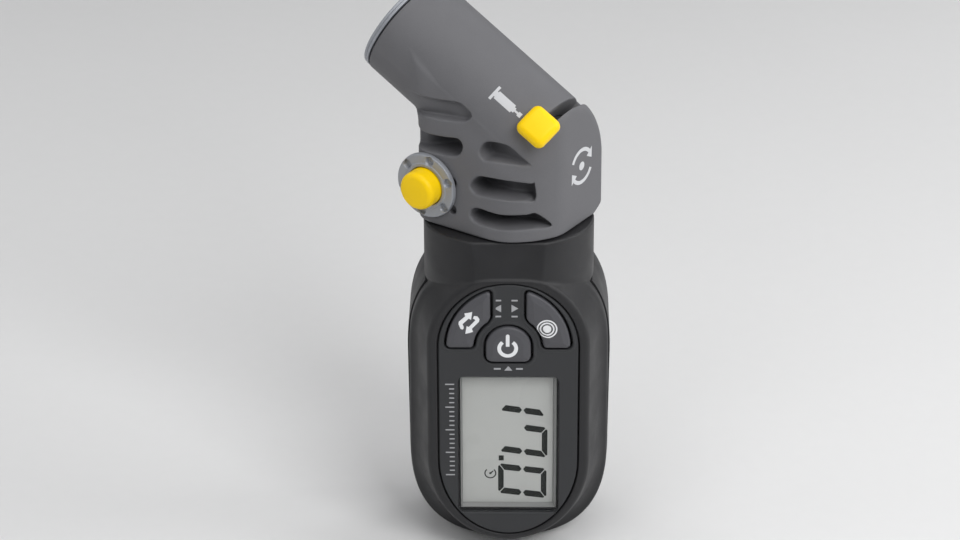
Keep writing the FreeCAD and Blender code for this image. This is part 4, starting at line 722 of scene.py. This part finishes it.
def neck_form(x, F, z):
    y = -F
    rise = np.clip((z + 8.0) / 8.0, 0.0, 1.1)
    plan = squircle(x, y, 16.15, 14.6 - 1.9 * rise, 2.0)
    facet = (F - (13.42 - 1.97 * rise)) / (1.0 + 0.03 * (rise > 0))
    neck = smax(plan, facet, 0.12)
    neck = smax(neck, y - 12.4, 0.8)
    neck = both(neck, z, 0.4)
    low = (-13.3 + 0.37 * np.maximum(F, 3.5) - z) / 1.066
    return both(neck, low, 0.55)


def pod_front(x, F, z):
    shell = smax(pod_hull(x, F, z), 3.75 - F, 0.3)
    return smin(shell, neck_form(x, F, z), 0.5)


SCREWS_LOW = ((-10.5, -61.3), (10.5, -61.3))
PEGS = ((-11.4, -31.0), (11.4, -31.0), (-11.4, -56.0), (11.4, -56.0))


def front_housing(x, y, z):
    F = -y
    form = pod_front(x, F, z)
    hollow = smax(pod_hull(x, F, z) + 1.9, F - 11.6, 0.4)
    form = smax(form, -hollow, 0.3)
    room = np.maximum(squircle(x, y, 14.2, 11.2, 2.0), np.maximum(F - 9.6, np.maximum(y - 10.5, np.maximum(z + 2.5, -15.0 - z))))
    form = smax(form, -room, 0.3)
    way = np.maximum(np.maximum(np.abs(x) - 8.0, np.maximum(y - 8.0, -9.0 - y)), np.maximum(-16.0 - z, z + 9.0))
    form = smax(form, -way, 0.3)
    boss = np.maximum(np.hypot(x, y) - 8.2, np.maximum(-13.5 - z, z + 1.0))
    form = smin(form, boss, 0.2)
    within = pod_hull(x, F, z) + 0.9
    for px, pz in PEGS:
        form = np.minimum(form, np.maximum(within, np.maximum(np.hypot(x - px, z - pz) - 1.45, np.maximum(8.0 - F, F - 11.6))))
    for px, pz in SCREWS_LOW:
        form = np.minimum(form, np.maximum(within, np.maximum(np.hypot(x - px, z - pz) - 2.1, np.maximum(3.75 - F, F - 7.0))))
    form = smax(form, 5.05 - np.hypot(x, y), 0.25)
    # seat for the panel, with openings behind it
    plan = panel_plan(x, z)
    form = smax(form, -np.maximum(plan - 0.17, 12.3 - F), 0.3)
    keys = np.minimum(np.minimum(wing_plan(x, z, 0.4), wing_plan(-x, z, 0.4)), power_plan(x, z, 0.4))
    opening = np.minimum(keys, rect_plan(x, z, 9.3, 14.7, LCD_Z, 0.3))
    return smax(form, -np.maximum(opening, 8.0 - F), 0.15)


carved("front_housing.skin", front_housing, (-19.6, -14.2, -68.6), (19.6, 12.9, 0.4), 0.31, "pod", "pod_black", POD, (0, 0, 0), ("front_housing",))


def face_panel(x, y, z):
    F = -y
    plan = panel_plan(x, z)
    wings = np.minimum(wing_plan(x, z, 0.36), wing_plan(-x, z, 0.36))
    keys = np.minimum(wings, power_plan(x, z, 0.36))
    form = both(plan + 0.08, F - 13.5, 0.3)
    form = smax(form, 12.32 - F, 0.1)
    # a raised bead round each key
    bead = smax(np.abs(keys - 0.3) - 0.22, F - 13.62, 0.25)
    form = smin(form, np.maximum(bead, 13.0 - F), 0.25)
    form = both(form, -keys, 0.2)
    return both(form, -rect_plan(x, z, 9.66, 15.06, LCD_Z, 1.26), 0.14)


carved("face_panel.plate", face_panel, (-13.8, -14.1, -63.0), (13.8, -12.0, -7.4), 0.19, "pod", "panel_grey", POD, (0, 0, 0), ("face_panel",))


def key_field(which):
    stud = {"unit": (-7.8, -16.2), "tune": (7.8, -16.2), "power": (0.0, -20.6)}[which]

    def plan(x, z, grow=0.0):
        if which == "power":
            return power_plan(x, z, grow)
        return wing_plan(x if which == "unit" else -x, z, grow)

    def field(x, y, z):
        F = -y
        flat = plan(x, z) + 0.04
        # a sloping border inside the rounded edge
        top = F - 14.25 + 0.32 * np.maximum(1.35 + flat, 0.0)
        cap = both(flat, top, 0.38)
        cap = smax(cap, 10.4 - F, 0.1)
        flange = np.maximum(flat - 0.55, np.maximum(10.35 - F, F - 10.85))
        post = np.maximum(np.hypot(x - stud[0], z - stud[1]) - 1.2, np.maximum(9.0 - F, F - 10.6))
        return smin(np.minimum(cap, flange), post, 0.05)

    return field


KEYS = {"unit": (-12.9, -2.4), "tune": (2.4, 12.9), "power": (-5.3, 5.3)}
fields = {}
for which, (x0, x1) in KEYS.items():
    fields[which] = key_field(which)
    z0, z1 = (-25.2, -15.7) if which == "power" else (-22.2, -7.6)
    carved("key_%s.cap" % which, fields[which], (x0, -14.5, z0), (x1, -8.8, z1), 0.16, "%s_key" % which, "key_grey", POD, (0, 0, 0), ("key_%s" % which,))


# ------------------------------------------------------------------ printed marks and display segments
def block(x0, x1, z0, z1, pitch=0.6):
    """A rectangle as a grid of quads."""
    nx, nz = max(1, int(abs(x1 - x0) / pitch + 0.99)), max(1, int(abs(z1 - z0) / pitch + 0.99))
    pts = [(x0 + (x1 - x0) * i / nx, z0 + (z1 - z0) * k / nz) for k in range(nz + 1) for i in range(nx + 1)]
    faces = [(k * (nx + 1) + i, k * (nx + 1) + i + 1, (k + 1) * (nx + 1) + i + 1, (k + 1) * (nx + 1) + i) for k in range(nz) for i in range(nx)]
    return pts, faces


def band(line, width, closed=False):
    """A stroke of even width along a line."""
    p = np.asarray(line, float)
    n = len(p)
    pts = []
    for i in range(n):
        a = p[i] - p[i - 1] if (i or closed) else p[1] - p[0]
        b = p[(i + 1) % n] - p[i] if (i < n - 1 or closed) else a
        a, b = a / np.linalg.norm(a), b / np.linalg.norm(b)
        na, nb = np.array([-a[1], a[0]]), np.array([-b[1], b[0]])
        m = (na + nb) / np.linalg.norm(na + nb)
        m = m / max(0.5, m @ na)
        pts += [tuple(p[i] - m * width / 2), tuple(p[i] + m * width / 2)]
    last = n if closed else n - 1
    faces = [(2 * i, 2 * ((i + 1) % n), 2 * ((i + 1) % n) + 1, 2 * i + 1) for i in range(last)]
    return pts, faces


def ring(cx, cz, r, width, count=56):
    return band([(cx + r * math.cos(2 * math.pi * k / count), cz + r * math.sin(2 * math.pi * k / count)) for k in range(count)], width, True)


def disc(cx, cz, r, count=40):
    pts = [(cx, cz)] + [(cx + r * math.cos(2 * math.pi * k / count), cz + r * math.sin(2 * math.pi * k / count)) for k in range(count)]
    return pts, [(0, 1 + k, 1 + (k + 1) % count) for k in range(count)]


def arc(cx, cz, r, a0, a1, width, count=26):
    return band([(cx + r * math.cos(math.radians(a0 + (a1 - a0) * k / count)), cz + r * math.sin(math.radians(a0 + (a1 - a0) * k / count))) for k in range(count + 1)], width)


def shape(points):
    return list(points), [tuple(range(len(points)))]


def fine(parts, levels=2):
    """The same outlines in small triangles, so that a print follows a bent surface."""
    out = []
    for pts, faces in parts:
        p = [Vector((x, z, 0.0)) for x, z in pts]
        tris = []
        for f in faces:
            tris += [tuple(f[i] for i in tri) for tri in tessellate_polygon([[p[i] for i in f]])]
        q = [(x, z) for x, z in pts]
        for _ in range(levels):
            halves, split = {}, []
            for a, b, c in tris:
                mids = []
                for i, j in ((a, b), (b, c), (c, a)):
                    key = (min(i, j), max(i, j))
                    if key not in halves:
                        halves[key] = len(q)
                        q.append(((q[i][0] + q[j][0]) / 2, (q[i][1] + q[j][1]) / 2))
                    mids.append(halves[key])
                split += [(a, mids[0], mids[2]), (mids[0], b, mids[1]), (mids[2], mids[1], c), tuple(mids)]
            tris = split
        turned_round = []
        for a, b, c in tris:
            area = (q[b][0] - q[a][0]) * (q[c][1] - q[a][1]) - (q[c][0] - q[a][0]) * (q[b][1] - q[a][1])
            turned_round.append((a, b, c) if area > 0 else (a, c, b))
        out.append((q, turned_round))
    return out


def print_on(name, parts, place, body, ink, up=0.03, down=0.05):
    """Thin closed prints. place gives points at a height over the surface they lie on."""
    verts, faces = [], []
    for pts, fs in parts:
        q = np.asarray(pts, float)
        base = len(verts)
        n = len(q)
        a = sum(q[f[i]][0] * q[f[(i + 1) % len(f)]][1] - q[f[(i + 1) % len(f)]][0] * q[f[i]][1] for f in fs for i in range(len(f)))
        if a < 0:
            fs = [tuple(reversed(f)) for f in fs]
        verts += [tuple(p) for p in place(q, up)] + [tuple(p) for p in place(q, -down)]
        edges = {}
        for f in fs:
            for i in range(len(f)):
                edges[(f[i], f[(i + 1) % len(f)])] = True
        flip = place.flip
        for f in fs:
            top = tuple(base + i for i in f)
            under = tuple(base + n + i for i in reversed(f))
            faces += [top[::-1], under[::-1]] if flip else [top, under]
        for i, j in edges:
            if (j, i) not in edges:
                side = (base + j, base + i, base + n + i, base + n + j)
                faces.append(side[::-1] if flip else side)
    return make(name, verts, faces, body, INK[ink], smooth=False)


class OnFace:
    """Marks on a plane facing the viewer: (x, z) at depth F."""
    flip = False

    def __init__(self, F):
        self.F = F

    def __call__(self, q, lift):
        return row(np.stack([q[:, 0], np.full(len(q), -self.F - lift), q[:, 1]], 1))


class OnField:
    """Marks dropped along -y onto a piece's surface."""
    flip = False

    def __init__(self, f, start=-15.0):
        self.f, self.start = f, start

    def __call__(self, q, lift):
        y = np.full(len(q), self.start)
        for _ in range(60):
            y = y + np.minimum(self.f(q[:, 0], y, q[:, 1]), 0.5) * 0.8
        return row(np.stack([q[:, 0], y - lift, q[:, 1]], 1))


class OnBarrel:
    """Marks wrapped on the barrel: (distance along it, arc length from the 46 degree line)."""
    flip = True

    def __call__(self, q, lift):
        a = math.radians(46.3) + q[:, 1] / 10.55
        r = 10.55 + lift
        p = np.outer(q[:, 0], ALONG) + np.outer(r * np.cos(a), W) + np.outer(r * np.sin(a), UPN) + np.array(ELBOW_AT)
        return row(p)


class OnBack:
    """Marks on the head's flat back: (w, z)."""
    flip = False

    def __call__(self, q, lift):
        p = np.outer(np.full(len(q), -13.45 - lift), U) + np.outer(q[:, 0], W) + np.outer(q[:, 1], ZED)
        return row(p)


# pump pictogram: handle, barrel, rod and nozzle, in line with the tube
print_on(
    "mark_pump",
    [
        block(1.9, 2.45, -1.5, 1.5, 0.3),
        block(1.6, 1.95, -0.55, 0.55, 0.3),
        block(-2.45, 1.65, -0.85, 0.85, 0.3),
        block(-2.9, -2.4, -0.5, 0.5, 0.3),
        block(-3.75, -2.85, -0.2, 0.2, 0.3),
        block(-4.5, -3.7, -0.45, 0.45, 0.3),
    ],
    OnBarrel(), "head", "pale",
)
# swivel mark on the back: two arcs with arrowheads round a dot
marks = [disc(-4.4, 12.3, 0.85)]
for a in (25, 205):
    marks.append(arc(-4.4, 12.3, 3.3, a, a + 115, 0.75))
    e = math.radians(a + 115)
    c, s = math.cos(e), math.sin(e)
    tip = math.radians(a + 115 + 30)
    marks.append(shape([(-4.4 + 2.2 * c, 12.3 + 2.2 * s), (-4.4 + 4.4 * c, 12.3 + 4.4 * s), (-4.4 + 3.35 * math.cos(tip), 12.3 + 3.35 * math.sin(tip))]))
print_on("mark_swivel", marks, OnBack(), "head", "pale")

# key pictograms
power = [arc(-0.12, -20.95, 1.60, 90 + 37, 90 + 323, 0.72, 40), block(-0.47, 0.23, -20.55, -18.3), arc(-0.12, -18.32, 0.175, 0, 180, 0.35, 10)]
print_on("mark_power", fine(power, 1), OnField(fields["power"]), "power_key", "white", 0.05)
circles = [ring(7.3, -16.75, 1.80, 0.27), ring(7.3, -16.75, 1.25, 0.29), disc(7.3, -16.75, 0.8)]
print_on("mark_target", fine(circles, 2), OnField(fields["tune"]), "tune_key", "white", 0.06)
# two bent arrows chasing each other
bent = [
    shape([(-8.38, -16.64), (-8.61, -16.91), (-8.97, -16.75), (-9.36, -15.76), (-9.31, -15.31), (-8.08, -14.07), (-8.24, -13.54), (-6.76, -13.16), (-7.0, -14.82), (-7.43, -14.55), (-8.61, -15.76), (-8.42, -16.22)]),
    shape([(-6.44, -14.01), (-5.83, -14.06), (-5.41, -14.68), (-5.5, -15.21), (-6.85, -16.74), (-6.64, -17.44), (-8.1, -17.82), (-7.83, -16.16), (-7.44, -16.37), (-6.21, -14.95), (-6.35, -14.68), (-6.65, -14.55)]),
]
print_on("mark_cycle", fine(bent, 3), OnField(fields["unit"]), "unit_key", "white", 0.06)

# plain marks on the panel: pointers to the keys and a scale of ticks with plain figures
face = OnFace(13.5)
panel_marks = [
    shape([(-2.6, -12.8), (-1.35, -12.0), (-1.35, -13.6)]),
    shape([(1.85, -12.8), (0.6, -13.6), (0.6, -12.0)]),
    shape([(-0.75, -26.15), (0.75, -26.15), (0.0, -25.15)]),
]
for z in (-11.1, -14.5):
    panel_marks += [block(-2.5, -1.35, z - 0.16, z + 0.16), block(0.6, 1.75, z - 0.16, z + 0.16)]
panel_marks += [block(-2.75, -1.45, -25.95, -25.6), block(1.45, 2.75, -25.95, -25.6)]
for k in range(21):
    z = -29.2 - k * 1.0
    panel_marks.append(block(-10.3 - (1.7 if k % 5 == 0 else 0.95), -10.3, z - 0.12, z + 0.12))
print_on("mark_panel", panel_marks, face, "pod", "grey")


def segments(x0, z0, lean, lit, high=9.35, wide=6.7):
    """A seven-segment figure lying on its side: its top points to +x and it reads towards -z."""
    tv, th, c, g = 1.34, 1.08, 0.6, 0.12
    mid = high / 2.0
    upright = [(0, c), (0, mid - 0.62), (0.55 * tv, mid - 0.13), (tv, mid - 0.62), (tv, th + g), (c / 2, c / 2 + g)]
    level = [(c, 0), (wide - c, 0), (wide - c / 2 - g, c / 2), (wide - tv - g, th), (tv + g, th), (c / 2 + g, c / 2)]
    table = {
        "e": upright,
        "f": [(r, high - u) for r, u in upright],
        "c": [(wide - r, u) for r, u in upright],
        "b": [(wide - r, high - u) for r, u in upright],
        "d": level,
        "a": [(r, high - u) for r, u in level],
    }
    return [shape([(x0 + u, z0 - r - lean * u) for r, u in table[k]]) for k in lit]


DISPLAY = 10.9
figures = []
figures += segments(-2.0, -48.13, 0.125, "abcdef")
figures += segments(-1.85, -38.75, 0.15, "abcf")
figures += segments(-1.72, -29.65, 0.15, "bc", 8.9)
figures += [block(-1.88, -0.91, -47.52, -46.4)]
# a plain gauge sign where a unit would stand
figures += [arc(-3.5, -50.4, 1.05, 130, 410, 0.24), band([(-3.5, -50.4), (-2.95, -49.9)], 0.24), disc(-3.5, -50.4, 0.24)]
print_on("display_segments", figures, OnFace(DISPLAY), "pod", "segment", 0.02, 0.03)

# ------------------------------------------------------------------ carried-over pieces
material_of = {
    "valve_core_body": "brass", "pin_guide": "brass", "selector_drum": "component_black",
    "selector_oring": "black_rubber", "release_stem": "brass", "release_seal": "black_rubber", "stem_washer": "black_rubber",
    "inlet_stem": "brass", "inlet_core": "brass", "dust_cap": "pod_black", "swivel_spigot": "brass", "swivel_orings": "black_rubber", "swivel_clip": "steel",
    "swivel_washer": "washer_white", "rear_housing": "pod_black", "housing_gasket": "black_rubber", "keypad_web": "silicone", "display_window": "clear_window",
    "lcd_frame": "lcd_bezel", "lcd_cell": "lcd_glass", "contact_strips": "silicone", "main_board": "circuit_green", "board_screws": "steel",
    "housing_screws": "steel", "switch_domes": "steel", "board_components": "component_black", "pressure_sensor": "washer_white", "air_tube": "silicone",
    "battery_cell": "steel", "battery_contact_negative": "brass", "battery_contact_positive": "brass", "battery_door": "pod_black", "door_seal": "black_rubber",
}
for name, ob in frame["nodes"].items():
    slot = material_of.get(name)
    if slot:
        ob.data.materials.clear()
        ob.data.materials.append(FINISH[slot])

# ------------------------------------------------------------------ floor, light, camera
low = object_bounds()[0][2]
me = bpy.data.meshes.new("floor")
me.from_pydata([(-3, -3, low - 0.0001), (3, -3, low - 0.0001), (3, 3, low - 0.0001), (-3, 3, low - 0.0001)], [], [(0, 1, 2, 3)])
floor = bpy.data.objects.new("floor", me)
scene.collection.objects.link(floor)
me.materials.append(finish_of("floor_paint", (224, 224, 224), 0.8, 0.01, 300.0, 0.05, 0.0001, blotch=8.0))

world = bpy.data.worlds.new("studio")
world.use_nodes = True
world.node_tree.nodes["Background"].inputs["Color"].default_value = (0.93, 0.95, 1.0, 1)
world.node_tree.nodes["Background"].inputs["Strength"].default_value = 0.10
scene.world = world

E_CAM, A_CAM = math.radians(27.6), math.radians(0.46)
target = row([(0.0, 0.0, -10.0)])[0]
back = np.array([math.sin(A_CAM) * math.cos(E_CAM), -math.cos(A_CAM) * math.cos(E_CAM), math.sin(E_CAM)])
right = np.array([math.cos(A_CAM), math.sin(A_CAM), 0.0])
up = np.cross(back, right)
spot = target + 0.6535 * back
cam = bpy.data.objects.new("camera", bpy.data.cameras.new("camera"))
cam.data.sensor_width = 36.0
cam.data.sensor_fit = "HORIZONTAL"
cam.data.lens = 3425.0 / 960.0 * 36.0
cam.data.shift_x = (480.0 - 508.9) / 960.0
cam.data.shift_y = (262.0 - 270.0) / 960.0
cam.data.clip_start, cam.data.clip_end = 0.01, 20.0
cam.matrix_world = Matrix([[right[i], up[i], back[i], spot[i]] for i in range(3)] + [[0, 0, 0, 1]])
scene.collection.objects.link(cam)
scene.camera = cam


def lamp(name, at, size, power, aim=(0.0, 0.0, -20.0), tint=(1, 1, 1)):
    """Soft box; at and aim in device millimetres."""
    a, b = row([at])[0], row([aim])[0]
    data = bpy.data.lights.new(name, "AREA")
    data.shape = "RECTANGLE"
    data.size, data.size_y = size[0] * 0.001, size[1] * 0.001
    data.energy = power
    data.color = tint
    ob = bpy.data.objects.new(name, data)
    ob.location = Vector(a)
    ob.rotation_euler = (Vector(b) - Vector(a)).to_track_quat("-Z", "Y").to_euler()
    scene.collection.objects.link(ob)
    return ob


lamp("top", (0, -60, 560), (420, 420), 1.2)
lamp("high_front_right", (250, -400, 420), (300, 300), 2.15)
lamp("high_front_left", (-250, -400, 420), (300, 300), 0.5)
lamp("side_right", (460, -40, 150), (240, 420), 1.0)
lamp("side_left", (-460, -60, 120), (240, 420), 0.35)
lamp("back_right", (350, 350, 250), (240, 420), 0.65)
lamp("back_left", (-350, 350, 250), (240, 420), 0.35)

scene.view_settings.view_transform = "Standard"
scene.view_settings.look = "None"
scene.view_settings.exposure = 0.0
